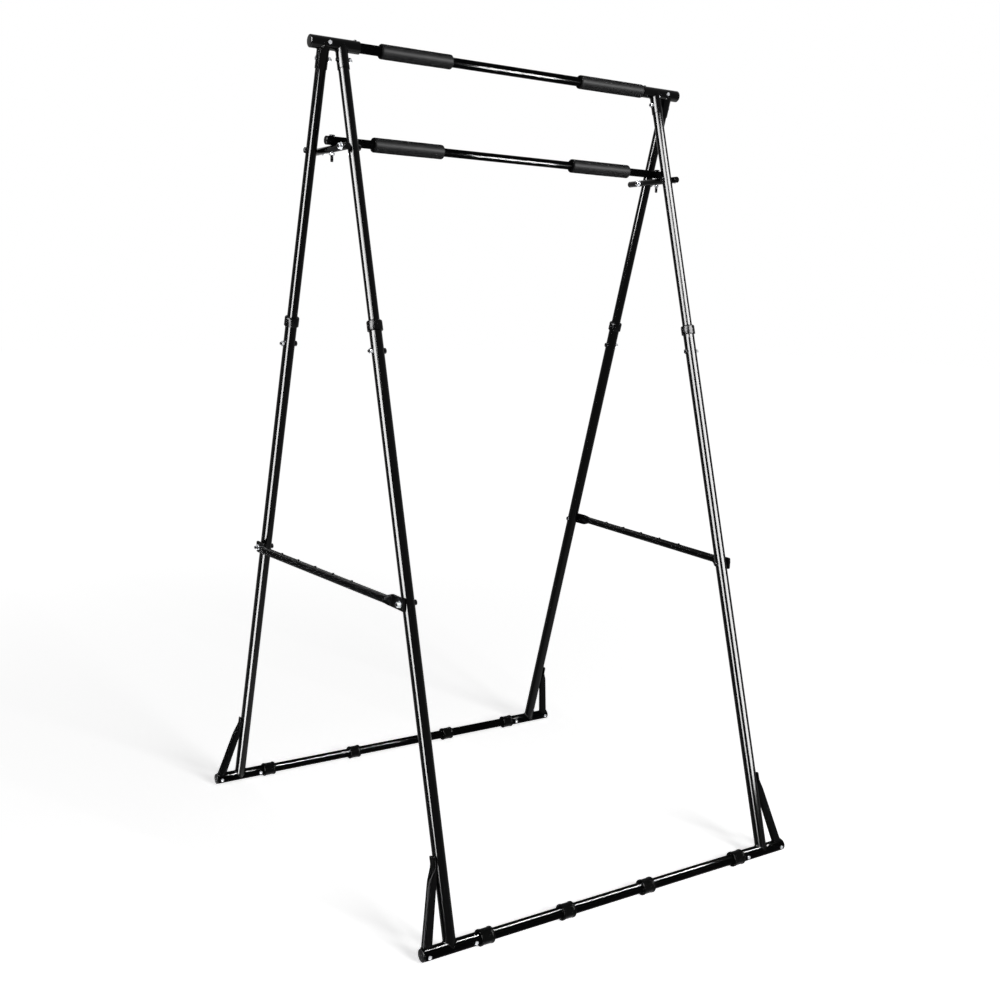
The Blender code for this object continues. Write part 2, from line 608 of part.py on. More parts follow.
def crossbar(side):
    """A crossbar on the outside of a rear and a front leg, its ends crushed flat, hung on its rear bolt."""
    out = X * SIDES[side]
    pivot = PIVOTS[side]
    at = pivot.location

    def solid(stations):
        return lofted(
            [
                flattened(out * offset - Y * run, out, Z, a, b, square, CRUSHED_SIDES)
                for run, offset, a, b, square in stations
            ]
        )

    place = Matrix.Translation(at)
    piece = add(f"crossbar_{side}", solid(crossbar_stations()), place, pivot, "black_enamel")
    front = at - Y * 2 * CROSSBAR_BOLT_Y - out * (REAR_LEG_X - FRONT_LEG_X)
    combine(piece, "DIFFERENCE", [(solid(crossbar_stations(CROSSBAR_WALL)[2:-2]), place)])
    through = 2 * CROSSBAR_TAB_HALF[0] + DRILL_PAST
    drills = [hole(point, out, -DRILL_PAST, through) for point in (at, front)]
    for number in range(PLUG_COUNT):
        run = PLUG_START + number * PLUG_PITCH
        share = (run - CROSSBAR_TAB_LENGTH) / (2 * CROSSBAR_BOLT_Y - 2 * CROSSBAR_TAB_LENGTH)
        aside = CROSSBAR_RADIUS - (REAR_LEG_X - FRONT_LEG_X) * share
        seat = at + out * aside - Y * run
        drills.append(hole(seat, Z, 0.0, CROSSBAR_RADIUS + DRILL_PAST, PLUG_HOLE_RADIUS))
    combine(piece, "DIFFERENCE", drills)


top_bar()
lower_bar()
foam_grip("top_grip_left", HEAD_HEIGHT, TOP_BAR_RADIUS, "left", TOP_GRIP_LEFT)
foam_grip("top_grip_right", HEAD_HEIGHT, TOP_BAR_RADIUS, "right", TOP_GRIP_RIGHT)
for stand_side in SIDES:
    foam_grip(f"lower_grip_{stand_side}", LOWER_BAR_HEIGHT, LOWER_BAR_RADIUS, stand_side, LOWER_GRIP)
    head(stand_side)
    bar_carrier(stand_side)
    crossbar(stand_side)
for stand_end in TOWARDS:
    base_tube(stand_end)
    for stand_side in SIDES:
        upper_leg(stand_end, stand_side)
        lower_leg(stand_end, stand_side)
        leg_collar(stand_end, stand_side)
        leg_bolts(stand_end, stand_side)
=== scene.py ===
# %% [markdown]
# # A freestanding pull-up bar
# The stand is two leaning frames of round steel tube that meet at a head tube on each side. A thick bar
# joins the heads and a thin bar lies below it, each with two foam grips. All of it could be placed by eye,
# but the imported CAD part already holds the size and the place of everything. So this lesson builds round
# that part and dresses it: rounder tubes, welds, real bolts, foam and rubber.

from math import atan2, cos, degrees, hypot, pi, radians, sin, sqrt, tan

import bmesh
import bpy
from mathutils import Matrix, Vector


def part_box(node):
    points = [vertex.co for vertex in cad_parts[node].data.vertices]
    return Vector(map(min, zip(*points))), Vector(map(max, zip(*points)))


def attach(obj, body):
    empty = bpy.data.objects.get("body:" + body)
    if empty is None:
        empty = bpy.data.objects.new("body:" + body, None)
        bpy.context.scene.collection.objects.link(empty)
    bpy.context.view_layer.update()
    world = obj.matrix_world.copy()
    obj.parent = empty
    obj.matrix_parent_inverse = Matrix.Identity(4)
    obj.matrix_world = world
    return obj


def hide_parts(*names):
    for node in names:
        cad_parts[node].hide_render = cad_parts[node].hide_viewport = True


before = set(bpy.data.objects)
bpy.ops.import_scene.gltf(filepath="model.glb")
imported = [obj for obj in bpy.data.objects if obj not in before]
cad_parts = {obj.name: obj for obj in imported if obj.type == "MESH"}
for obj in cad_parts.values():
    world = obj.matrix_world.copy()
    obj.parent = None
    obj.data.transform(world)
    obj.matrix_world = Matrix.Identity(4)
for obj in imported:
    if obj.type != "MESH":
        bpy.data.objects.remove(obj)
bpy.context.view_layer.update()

# %% [markdown]
# The real stand is the same on the left and on the right, and its four legs lean by one angle. Their places
# could be typed, but then they could drift away from the solids. They are read from the boxes of the CAD
# nodes instead, and the lean follows from the height of the top bar and the distance of the base tubes.


# %% Places read from the CAD nodes
def middle(node):
    low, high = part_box(node)
    return (low + high) / 2


def span(node):
    low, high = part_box(node)
    return high - low


X, Y, Z = Vector((1, 0, 0)), Vector((0, 1, 0)), Vector((0, 0, 1))
SIDES = {"left": -1, "right": 1}
ENDS = {"front": -1, "rear": 1}
LEGS = [(end, side) for end in ENDS for side in SIDES]
BODY = {"front": "front_base", "rear": "rear_base"}
HEAD_Z = middle("top_bar").z
BASE_Y = middle("base_tube_rear").y
BASE_Z = middle("base_tube_rear").z
LEAN = atan2(BASE_Y, HEAD_Z - BASE_Z)
LEG_LENGTH = hypot(BASE_Y, HEAD_Z - BASE_Z)
LEG_X = {end: middle(f"upper_leg_{end}_right").x for end in ENDS}
print("top bar at", round(HEAD_Z, 4), "m, legs lean", round(degrees(LEAN), 2), "degrees")

# %% [markdown]
# A leg, a foot or a bolt is easiest to model upright at the origin. Each could then be turned by its own
# angles, but a matrix whose Z runs along the real piece lays it in its place in one step. The ones below
# serve for anything along a direction, and for a leg.


# %% Frames that pieces are laid in
NEARLY_PARALLEL = 0.1  # a direction across another that is shorter than this is too close to it


def along(at, direction, across=X):
    """A matrix that stands a piece made along Z at a point, with its Z in a direction."""
    z = Vector(direction).normalized()
    x = across - z * across.dot(z)
    if x.length < NEARLY_PARALLEL:
        x = Y - z * Y.dot(z)
    x.normalize()
    return Matrix.Translation(at) @ Matrix((x, z.cross(x), z)).transposed().to_4x4()


def leg_down(end):
    return Vector((0, ENDS[end] * sin(LEAN), -cos(LEAN)))


def leg_frame(end, side):
    """A leg's own frame: Z runs down the leg from the axis of the head tube."""
    return along(Vector((SIDES[side] * LEG_X[end], 0, HEAD_Z)), leg_down(end))


print("a leg is", round(LEG_LENGTH, 4), "m long from the head's axis to the base's")

# %% [markdown]
# No finish on the real stand is even all over, so its colour and roughness are worked out from patterns.
# That could be a chain of Math nodes, made one by one, but a sum is easier to read. The class below wraps
# one socket, so that an expression on values adds its own nodes.


# %% Values that add their own nodes
class Value:
    """A number that changes over a surface, held as a node socket."""

    def __init__(self, recipe, socket):
        self.recipe = recipe
        self.socket = socket

    def maths(self, operation, first, second=0.0, clamp=False):
        settings = {"operation": operation, "use_clamp": clamp}
        return self.recipe.node("ShaderNodeMath", settings, {0: first, 1: second}).value()

    def __add__(self, other):
        return self.maths("ADD", self, other)

    __radd__ = __add__

    def __sub__(self, other):
        return self.maths("SUBTRACT", self, other)

    def __rsub__(self, other):
        return self.maths("SUBTRACT", other, self)

    def __mul__(self, other):
        return self.maths("MULTIPLY", self, other)

    __rmul__ = __mul__

    def __truediv__(self, other):
        return self.maths("DIVIDE", self, other)

    def __rtruediv__(self, other):
        return self.maths("DIVIDE", other, self)

    def __gt__(self, other):
        return self.maths("GREATER_THAN", self, other)

    def __lt__(self, other):
        return self.maths("LESS_THAN", self, other)

    def clamped(self):
        return self.maths("ADD", self, 0.0, clamp=True)

    def or_more(self, other):
        return self.maths("MAXIMUM", self, other)

    def root(self):
        return self.maths("SQRT", self)


print("values can be added, scaled, compared and clamped")

# %% [markdown]
# Noise, cells, a mix of colours and a bump aren't sums. Each could be wired up where it is used, but one
# method can make any node from its type, its settings and what feeds its sockets. The patterns read Object
# coordinates, so they stay on a piece wherever it goes.


# %% Recipes that hold the other nodes
class Step:
    """A node in a recipe, whose outputs are asked for by name or by number."""

    def __init__(self, recipe, node):
        self.recipe = recipe
        self.node = node

    def value(self, output=0):
        return Value(self.recipe, self.node.outputs[output])

    def out(self, output=0):
        return self.node.outputs[output]


class Recipe:
    """The nodes of one material or of the world."""

    def __init__(self, tree):
        self.tree = tree

    def feed(self, socket, source):
        if isinstance(source, Value):
            source = source.socket
        if isinstance(source, bpy.types.NodeSocket):
            self.tree.links.new(source, socket)
        else:
            socket.default_value = source

    def node(self, kind, settings=None, inputs=None):
        node = self.tree.nodes.new(kind)
        for name, setting in (settings or {}).items():
            setattr(node, name, setting)
        for name, source in (inputs or {}).items():
            self.feed(node.inputs[name], source)
        return Step(self, node)

    def noise(self, size, detail, roughness, stretch=None):
        """A cloudy pattern in the piece's own coordinates, whose features are about so many metres wide."""
        place = self.node("ShaderNodeTexCoord").out("Object")
        if stretch:
            place = self.node("ShaderNodeMapping", None, {"Vector": place, "Scale": stretch}).out()
        pattern = {"Vector": place, "Scale": 1 / size, "Detail": detail, "Roughness": roughness}
        return self.node("ShaderNodeTexNoise", None, pattern).value()

    def cells(self, size):
        """A pattern of small cells about so many metres apart."""
        place = self.node("ShaderNodeTexCoord").out("Object")
        return self.node("ShaderNodeTexVoronoi", None, {"Vector": place, "Scale": 1 / size}).value()

    def between(self, share, low, high):
        """A colour that goes from one to another as a value goes from 0 to 1."""
        inputs = {0: share, 6: (*low, 1), 7: (*high, 1)}
        return self.node("ShaderNodeMix", {"data_type": "RGBA"}, inputs).out(2)

    def relief(self, height, strength, depth):
        """A fine relief that tilts the surface, so many metres deep."""
        bump = {"Height": height, "Strength": strength, "Distance": depth}
        return self.node("ShaderNodeBump", None, bump).out()


print("recipes ready")

# %% [markdown]
# Every finish here has two colours, a roughness and a fine relief. Each material could feed its shader by
# itself, but the feeding is always the same. So one function does it, and a finish only has to say what
# its patterns are. The gloss level stays a plain number, because the export keeps only that.


# %% Finishes from a recipe
def material(name):
    """A new material with a bare Principled shader, its recipe and that shader."""
    made = bpy.data.materials.new(name)
    made.use_nodes = True
    return made, Recipe(made.node_tree), made.node_tree.nodes["Principled BSDF"]


def make_finish(name, colours, gloss, patterns, metallic=0.0):
    """A finish from two colours and a function that makes its shade, its roughness and its relief."""
    made, recipe, shader = material(name)
    shade, roughness, relief = patterns(recipe)
    recipe.feed(shader.inputs["Base Color"], recipe.between(shade, *colours))
    recipe.feed(shader.inputs["Roughness"], roughness)
    recipe.feed(shader.inputs["Normal"], relief)
    shader.inputs["Specular IOR Level"].default_value = gloss
    shader.inputs["Metallic"].default_value = metallic
    print("made", name)
    return made


print("a finish is made from two colours, a gloss level and its patterns")

# %% [markdown]
# The tubes are dipped in a hard black enamel. It is so dark that all one sees is its gloss, with a very
# fine orange-peel texture, a few dull patches where it was handled, and a little dust in the colour. A
# usual gloss level would turn black to grey under the bright panels of this studio, so the level is low.
#
# A tube that lies along the bars mirrors those panels at a flat angle when it is seen from the side, and
# would vanish in white there. So the bars, the grips and the base tubes with their stubs are fainter in
# gloss by one factor, and the panels that are theirs alone are brighter by that factor or more.

# %% Black enamel
ENAMEL_COLOURS = ((0.0009, 0.0009, 0.0010), (0.0030, 0.0030, 0.0032))
ENAMEL_GLOSS = 0.04
FAINTER = 50


def enamel_patterns(recipe):
    cloud = recipe.noise(0.11, detail=4.0, roughness=0.55)
    speck = recipe.noise(0.0011, detail=2.0, roughness=0.6)
    dust = ((speck - 0.62) * 6.0).clamped()
    peel = recipe.noise(0.0035, detail=2.0, roughness=0.45)
    roughness = cloud * 0.05 + dust * 0.08 + 0.065
    return cloud * 0.7 + dust * 0.3, roughness, recipe.relief(peel, 0.10, 0.00006)


enamel = make_finish("black_enamel", ENAMEL_COLOURS, ENAMEL_GLOSS, enamel_patterns)
bar_enamel = make_finish("black_enamel_bars", ENAMEL_COLOURS, ENAMEL_GLOSS / FAINTER, enamel_patterns)

# %% [markdown]
# The braces at the feet and the crossbars have the same coating with a duller, satin face. It could be the
# enamel with one number changed, but crushing and welding leave the steel under it rougher, so it gets a
# grain of its own.

# %% Satin enamel
SATIN_COLOURS = ((0.0024, 0.0024, 0.0025), (0.0072, 0.0072, 0.0075))
SATIN_GLOSS = 0.005


def satin_patterns(recipe):
    cloud = recipe.noise(0.05, detail=4.0, roughness=0.6)
    grain = recipe.noise(0.0016, detail=3.0, roughness=0.6)
    return cloud * 0.6 + grain * 0.4, cloud * 0.10 + 0.26, recipe.relief(grain, 0.15, 0.00005)


satin = make_finish("satin_enamel", SATIN_COLOURS, SATIN_GLOSS, satin_patterns)

# %% [markdown]
# The grips are sleeves of closed-cell foam. Their skin is slightly mottled and has a soft sheen, with the
# cut cells showing as fine pits. One noise could do for all of that, but two patterns of different size in
# the relief show both the cells and the grain between them.

# %% Grip foam
FOAM_COLOURS = ((0.007, 0.007, 0.0072), (0.023, 0.023, 0.0236))
FOAM_GLOSS = 0.03


def foam_patterns(recipe):
    mottle = recipe.noise(0.012, detail=4.0, roughness=0.6)
    pits = recipe.cells(0.0013)
    grain = recipe.noise(0.0006, detail=3.0, roughness=0.65)
    shade = mottle * 0.55 + pits * 0.25 + grain * 0.2
    return shade, mottle * 0.1 + 0.46, recipe.relief(pits * 0.6 + grain * 0.4, 0.25, 0.00014)


foam = make_finish("grip_foam", FOAM_COLOURS, FOAM_GLOSS / FAINTER, foam_patterns)

# %% [markdown]
# Caps, collars and plugs are moulded polypropylene: black, satin, with the fine spark texture of the
# mould. The caps of the head tubes are smoother and glossier than the rest, so one function makes both from
# a roughness and a gloss level.

# %% Moulded plastic
PLASTIC_COLOURS = ((0.0015, 0.0015, 0.0016), (0.0045, 0.0045, 0.0048))


def make_plastic(name, least_roughness, gloss):
    def patterns(recipe):
        spark = recipe.noise(0.0007, detail=3.0, roughness=0.6)
        cloud = recipe.noise(0.03, detail=3.0, roughness=0.5)
        roughness = spark * 0.08 + cloud * 0.06 + least_roughness
        return cloud, roughness, recipe.relief(spark, 0.12, 0.00004)

    return make_finish(name, PLASTIC_COLOURS, gloss, patterns)


plastic = make_plastic("black_plastic", 0.17, 0.025)
cap_plastic = make_plastic("black_plastic_caps", 0.05, 0.06)

# %% [markdown]
# The floor rings are rubber, softer in gloss than the plastic, with dust caught in the surface. The dust
# could be a layer of its own, but on black rubber a grain that also lightens the colour reads the same.

# %% Floor rubber
RUBBER_COLOURS = ((0.0015, 0.0015, 0.0015), (0.0060, 0.0060, 0.0060))
RUBBER_GLOSS = 0.01


def rubber_patterns(recipe):
    cloud = recipe.noise(0.009, detail=4.0, roughness=0.6)
    grain = recipe.noise(0.0009, detail=3.0, roughness=0.6)
    return cloud * 0.6 + grain * 0.4, cloud * 0.12 + 0.24, recipe.relief(grain, 0.15, 0.00005)


rubber = make_finish("floor_rubber", RUBBER_COLOURS, RUBBER_GLOSS, rubber_patterns)

# %% [markdown]
# Nuts, washers and the bolts of the feet are bright zinc plated. Plain grey metal would look like a mirror,
# so the plating has a faint cloudy spangle and fine rubbed marks, which are a noise squeezed in one
# direction. The long bolts are black, with the thin oily look of a chemical finish.

# %% Zinc plate and black bolt steel
ZINC_COLOURS = ((0.42, 0.43, 0.45), (0.66, 0.67, 0.69))
ZINC_GLOSS = 0.5
BOLT_COLOURS = ((0.004, 0.004, 0.0045), (0.012, 0.012, 0.013))
BOLT_GLOSS = 0.06


def zinc_patterns(recipe):
    spangle = recipe.cells(0.0035)
    scratch = recipe.noise(0.0008, detail=2.0, roughness=0.6, stretch=(1, 1, 6))
    return spangle, spangle * 0.10 + scratch * 0.12 + 0.16, recipe.relief(scratch, 0.15, 0.00003)


def bolt_patterns(recipe):
    cloud = recipe.noise(0.004, detail=3.0, roughness=0.6)
    return cloud, cloud * 0.18 + 0.26, recipe.relief(cloud, 0.2, 0.00005)


zinc = make_finish("bright_zinc", ZINC_COLOURS, ZINC_GLOSS, zinc_patterns, metallic=1.0)
bolt_black = make_finish("bolt_black", BOLT_COLOURS, BOLT_GLOSS, bolt_patterns)

# %% [markdown]
# Modelling by hand goes through a few moves again and again: select nothing, add a shape, pick some of
# its faces or edges, and shape those. By hand they are picked with the mouse. A script has to know them by
# where they lie or which way they face, so each pick below is given a test.


# %% Picking faces and edges
def select_only(*pieces):
    if bpy.context.object and bpy.context.object.mode != "OBJECT":
        bpy.ops.object.mode_set(mode="OBJECT")
    bpy.ops.object.select_all(action="DESELECT")
    for piece in pieces:
        piece.select_set(True)
        bpy.context.view_layer.objects.active = piece


def pick(piece, kind, test):
    """Goes into edit mode with only those faces or edges selected that pass a test."""
    select_only(piece)
    bpy.ops.object.mode_set(mode="EDIT")
    bpy.ops.mesh.select_mode(type=kind)
    bpy.ops.mesh.select_all(action="DESELECT")
    shape = bmesh.from_edit_mesh(piece.data)
    if kind == "FACE":
        for face in shape.faces:
            face.select_set(bool(test(face.calc_center_median(), face.normal)))
    else:
        for edge in shape.edges:
            ends = [vertex.co.copy() for vertex in edge.verts]
            edge.select_set(bool(test(*ends)))
    bmesh.update_edit_mesh(piece.data)


def done():
    bpy.ops.object.mode_set(mode="OBJECT")


print("faces are picked by their centre and normal, edges by their two ends")

# %% [markdown]
# Nearly everything here begins as a rod or a tube along Z. A tube could be a rod with a bore cut from it,
# but insetting both flat ends and bridging them through the rod leaves cleaner faces. Its rims are broken,
# as a saw cut and a file leave them, because a sharp rim never catches light.


# %% Rods and tubes
RIM_SLACK = 2e-5  # how far a rim's vertices may lie off its height and its radius


def rod(radius, start, stop, sides=48):
    """A round bar along Z, as a start for other shapes."""
    select_only()
    bpy.ops.mesh.primitive_cylinder_add(
        vertices=sides, radius=radius, depth=stop - start, location=(0, 0, (start + stop) / 2)
    )
    select_only(bpy.context.object)
    bpy.ops.object.transform_apply(location=True, rotation=True, scale=True)
    return bpy.context.object


def ringed(piece, cuts):
    """Cuts rings into the long sides, so that what is cut at one end shades only there."""
    longest = max(piece.dimensions)
    pick(piece, "EDGE", lambda a, b: abs(a.z - b.z) > longest * 0.9)
    bpy.ops.mesh.subdivide(number_cuts=cuts)
    done()
    return piece


def break_rim(piece, z, radius, width, segments=2):
    """Rounds the sharp ring of edges at a height and a radius."""

    def on_rim(a, b):
        return all(abs(c.z - z) < RIM_SLACK and abs(hypot(c.x, c.y) - radius) < RIM_SLACK for c in (a, b))

    pick(piece, "EDGE", on_rim)
    bpy.ops.mesh.bevel(offset=width, segments=segments, profile=0.5, affect="EDGES")
    done()


def flat_ends(centre, normal):
    return abs(normal.z) > 0.99


def round_tube(radius, bore, start, stop, sides=48, rim=0.0004):
    """A hollow tube along Z: the ends of a rod are inset to the bore and bridged through it."""
    piece = rod(radius, start, stop, sides)
    pick(piece, "FACE", flat_ends)
    bpy.ops.mesh.inset(thickness=radius - bore, use_even_offset=False)
    bpy.ops.mesh.bridge_edge_loops()
    done()
    if rim:
        for z in (start, stop):
            break_rim(piece, z, radius, rim)
    return piece


print("rods and tubes are drawn along Z")

# %% [markdown]
# A finished piece is cut or joined, laid in its place, named and given its finish. Its place could stay on
# the object, but the export puts every object at the origin, so the place is applied to the mesh. What
# repeats on the stand is modelled once, and each copy gets a mesh of its own.

# %% Cutting, placing and dressing pieces
SMOOTH_BELOW = radians(35)  # faces that meet flatter than this are shaded as one


def apply_modifier(piece, kind, **settings):
    select_only(piece)
    step = piece.modifiers.new(kind.lower(), kind)
    for name, setting in settings.items():
        setattr(step, name, setting)
    bpy.ops.object.modifier_apply(modifier=step.name)


def boolean(piece, operation, tool):
    """Cuts another shape from a piece or joins it on, and throws the tool away."""
    apply_modifier(piece, "BOOLEAN", operation=operation, solver="EXACT", object=tool)
    bpy.data.objects.remove(tool)


def joined(*pieces):
    select_only(*pieces)
    bpy.context.view_layer.objects.active = pieces[0]
    bpy.ops.object.join()
    return bpy.context.object


def put(piece, matrix):
    """Applies a matrix to a piece, so that its place is in its mesh."""
    piece.matrix_world = matrix
    select_only(piece)
    bpy.ops.object.transform_apply(location=True, rotation=True, scale=True)
    return piece


def twin(model):
    """A copy of a model with its own mesh."""
    piece = model.copy()
    piece.data = model.data.copy()
    bpy.context.scene.collection.objects.link(piece)
    return piece


def dress(piece, name, body, finish, *nodes):
    """Names a finished piece, gives it its finish, and says what it rides on and stands for."""
    piece.name = name
    piece.data.name = name
    piece.data.materials.clear()
    piece.data.materials.append(finish)
    select_only(piece)
    bpy.ops.object.shade_smooth_by_angle(angle=SMOOTH_BELOW)
    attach(piece, body)
    if nodes:
        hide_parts(*nodes)
    return piece


def scrap(*models):
    for model in models:
        bpy.data.objects.remove(model)


print("moves ready")

# %% [markdown]
# The thick top bar ends inside the head tubes, and the thin lower bar rests on two carriers. Both are plain
# tubes. A curve with a bevel could draw them too, but a tube with true walls and broken rims also looks
# right at its ends. They get 48 sides, because a streak of light runs along them.

# %% The top bar and the lower bar
BAR_RADIUS = {"top": 0.0127, "lower": 0.011}
BAR_WALL = {"top": 0.002, "lower": 0.0018}


def tube_for(node, axis, radius, bore, body, finish, sides=48):
    """A hollow tube as long as a CAD node, in its place."""
    reach = span(node).dot(axis) / 2
    piece = put(round_tube(radius, bore, -reach, reach, sides), along(middle(node), axis))
    return dress(piece, f"{node}_tube", body, finish, node)


for level, radius in BAR_RADIUS.items():
    bar = tube_for(f"{level}_bar", X, radius, radius - BAR_WALL[level], "upper_frame", bar_enamel)
    print(bar.name, [round(side, 4) for side in bar.dimensions])

# %% [markdown]
# Each grip is a foam sleeve pushed over its bar. It could stay a straight tube with bump on it, but foam is
# never quite straight and its outline shows that. So it starts as a tube with round shoulders and many
# rings, and a cloudy texture moves its skin in and out by a few tenths of a millimetre.

# %% Foam grips
GAP = 0.0003  # between faces that touch
GRIP_RADIUS = 0.019
GRIP_SHOULDER = 0.0035
GRIP_SIDES = 56
GRIP_RINGS = 36
SKIN_CLOUD = 0.03
SKIN_SWING = 0.0007
SKIN_LEVEL = 0.8  # most of the swing goes inwards, so that the skin hardly leaves its solid

cloud = bpy.data.textures.new("foam_cloud", "CLOUDS")
cloud.noise_scale = SKIN_CLOUD


def foam_grip(node, bar_radius):
    reach = span(node).x / 2
    piece = round_tube(GRIP_RADIUS, bar_radius + GAP, -reach, reach, GRIP_SIDES, rim=0)
    for z in (-reach, reach):
        break_rim(piece, z, GRIP_RADIUS, GRIP_SHOULDER, segments=4)
    pick(piece, "EDGE", lambda a, b: abs(a.z - b.z) > reach and hypot(a.x, a.y) > GRIP_RADIUS - 1e-4)
    bpy.ops.mesh.subdivide(number_cuts=GRIP_RINGS)
    done()
    outside = piece.vertex_groups.new(name="skin")
    skin = [v.index for v in piece.data.vertices if hypot(v.co.x, v.co.y) > GRIP_RADIUS - GRIP_SHOULDER / 3]
    outside.add(skin, 1.0, "REPLACE")
    apply_modifier(
        piece, "DISPLACE", texture=cloud, strength=SKIN_SWING, mid_level=SKIN_LEVEL, vertex_group="skin"
    )
    piece.vertex_groups.clear()
    put(piece, along(middle(node), X))
    dress(piece, f"{node}_foam", "upper_frame", foam, node)


for side in SIDES:
    for level, radius in BAR_RADIUS.items():
        foam_grip(f"{level}_grip_{side}", radius)
print("foam grips: 4")

# %% [markdown]
# Where two tubes are welded, a bead of ripples runs round the joint. It could be drawn as a curve through
# measured points. But the line where two round tubes meet follows from their sizes, so a ring is added as a
# torus, and each of its sections is moved to that line and swollen by the ripples.

# %% Weld beads
RIPPLE_LEAST = 0.82
RIPPLE_SWING = 0.30
UNEVEN_SWING = 0.06
UNEVEN_WAVES = 7


def whole(centre, normal):
    return True


def face_outwards():
    """In edit mode, turns every face of the piece outwards."""
    bpy.ops.mesh.select_all(action="SELECT")
    bpy.ops.mesh.normals_make_consistent(inside=False)


def bead(radius, other_at, other_along, other_radius, thickness, ripples, far=False):
    """A rippled ring on a tube along Z where its surface meets another tube's."""
    select_only()
    bpy.ops.mesh.primitive_torus_add(
        major_segments=120, minor_segments=8, major_radius=radius, minor_radius=thickness
    )
    piece = bpy.context.object
    pick(piece, "FACE", whole)
    face_outwards()
    shape = bmesh.from_edit_mesh(piece.data)
    axis = Vector(other_along).normalized()
    for vertex in shape.verts:
        turn = atan2(vertex.co.y, vertex.co.x)
        ring = Vector((radius * cos(turn), radius * sin(turn), 0))
        start = ring - other_at
        flat = start - axis * start.dot(axis)
        rise = Z - axis * axis.z
        a, b, c = rise.length_squared, 2 * flat.dot(rise), flat.length_squared - other_radius**2
        root = sqrt(max(b * b - 4 * a * c, 0.0))
        height = (-b + (root if far else -root)) / (2 * a)
        swell = RIPPLE_LEAST + RIPPLE_SWING * abs(sin(turn * ripples / 2))
        swell += UNEVEN_SWING * sin(turn * UNEVEN_WAVES)
        vertex.co = ring + Z * height + (vertex.co - ring) * swell
    bmesh.update_edit_mesh(piece.data)
    done()
    return piece


print("a bead follows the curve where two tubes meet")

# %% [markdown]
# The two legs of a side are pushed into sockets welded under the head tube. The three tubes could merely
# pass through each other, but then walls would show inside them. The head is made as the welder makes it: a
# short thick tube, two stub sockets set against it, and one bore through each.

# %% Head tubes with their sockets
HEAD_RADIUS = 0.016
HEAD_BORE = 0.013
HEAD_SIDES = 64
SOCKET_RADIUS = 0.0157
SOCKET_BORE = 0.0143
SOCKET_LENGTH = 0.062
SOCKET_FLOOR = 0.017
SOCKET_SIDES = 56
HEAD_RINGS = 40
SOCKET_RINGS = 14
BORE_PAST = 0.01  # a cutter beyond the end that it opens
HEAD_BEAD = 0.0016
HEAD_RIPPLES = 26

for side in SIDES:
    node = f"head_{side}"
    half = span(node).x / 2
    lie = along(Vector((middle(node).x, 0, HEAD_Z)), X)
    head = put(ringed(rod(HEAD_RADIUS, -half, half, HEAD_SIDES), HEAD_RINGS), lie)
    for end in ENDS:
        socket = ringed(rod(SOCKET_RADIUS, 0, SOCKET_LENGTH, SOCKET_SIDES), SOCKET_RINGS)
        boolean(head, "UNION", put(socket, leg_frame(end, side)))
    boolean(head, "DIFFERENCE", put(rod(HEAD_BORE, -half - BORE_PAST, half + BORE_PAST), lie))
    for end in ENDS:
        bore = rod(SOCKET_BORE, SOCKET_FLOOR, SOCKET_LENGTH + BORE_PAST)
        boolean(head, "DIFFERENCE", put(bore, leg_frame(end, side)))
    dress(head, f"{node}_shell", "upper_frame", enamel, node)
    apply_modifier(head, "WEIGHTED_NORMAL", keep_sharp=True, weight=90)
    beads = []
    for end in ENDS:
        ring = bead(SOCKET_RADIUS, Vector(), X, HEAD_RADIUS, HEAD_BEAD, HEAD_RIPPLES, far=True)
        beads.append(put(ring, leg_frame(end, side)))
    dress(joined(*beads), f"{node}_welds", "upper_frame", enamel)
print("heads: 2, with", len(ENDS), "sockets each")

# %% [markdown]
# The upper legs slide inside the lower ones and carry a row of locking holes. The solid model keeps them as
# one long slot, which is enough for a bolt to move in. A black dot could stand for each hole, but they come
# into sight as the stand is raised, so they are drilled through here as real holes.

# %% Upper legs with their row of locking holes
UPPER_LEG_RADIUS = 0.014
UPPER_LEG_BORE = 0.0125
UPPER_LEG_TAIL = 0.24
LOCK_DROP = 0.7797
HOLE_PITCH = 0.05
HOLE_COUNT = 5
HOLE_RADIUS = 0.0043
DRILL_REACH = 0.02
LEG_RINGS = 40

upper_leg = round_tube(UPPER_LEG_RADIUS, UPPER_LEG_BORE, SOCKET_FLOOR + GAP, LOCK_DROP + UPPER_LEG_TAIL)
ringed(upper_leg, LEG_RINGS)
for number in range(HOLE_COUNT):
    drill = rod(HOLE_RADIUS, -DRILL_REACH, DRILL_REACH, sides=24)
    boolean(upper_leg, "DIFFERENCE", put(drill, along(Z * (LOCK_DROP + number * HOLE_PITCH), X)))
for end, side in LEGS:
    node = f"upper_leg_{end}_{side}"
    dress(put(twin(upper_leg), leg_frame(end, side)), f"{node}_tube", "upper_frame", enamel, node)
scrap(upper_leg)
print("upper legs: 4, with", HOLE_COUNT, "locking holes each")

# %% [markdown]
# A lower leg stands on a short stub that the base tube runs through. Its foot could be pushed into the stub
# and left there, but a fitter copes it. So the stub's shape is cut from the tube, and a bead closes the
# joint. The bore of the leg stays open to take the upper leg.

# %% Lower legs and their foot stubs
LOWER_LEG_RADIUS = 0.016
COLLAR_DROP = 0.7036
COLLAR_LIP = 0.004
STUB_RADIUS = 0.016
STUB_OUTBOARD = 0.074
STUB_MOUTH = 0.0782
WELD_DEPTH = 0.0004  # how deep a coped end sinks into what it is welded to
FOOT_BEAD = 0.0019
FOOT_RIPPLES = 30
COPE_REACH = 0.03


def foot_at(end, side):
    """The point where a leg's axis meets the axis of the base tube."""
    return Vector((SIDES[side] * LEG_X[end], ENDS[end] * BASE_Y, BASE_Z))


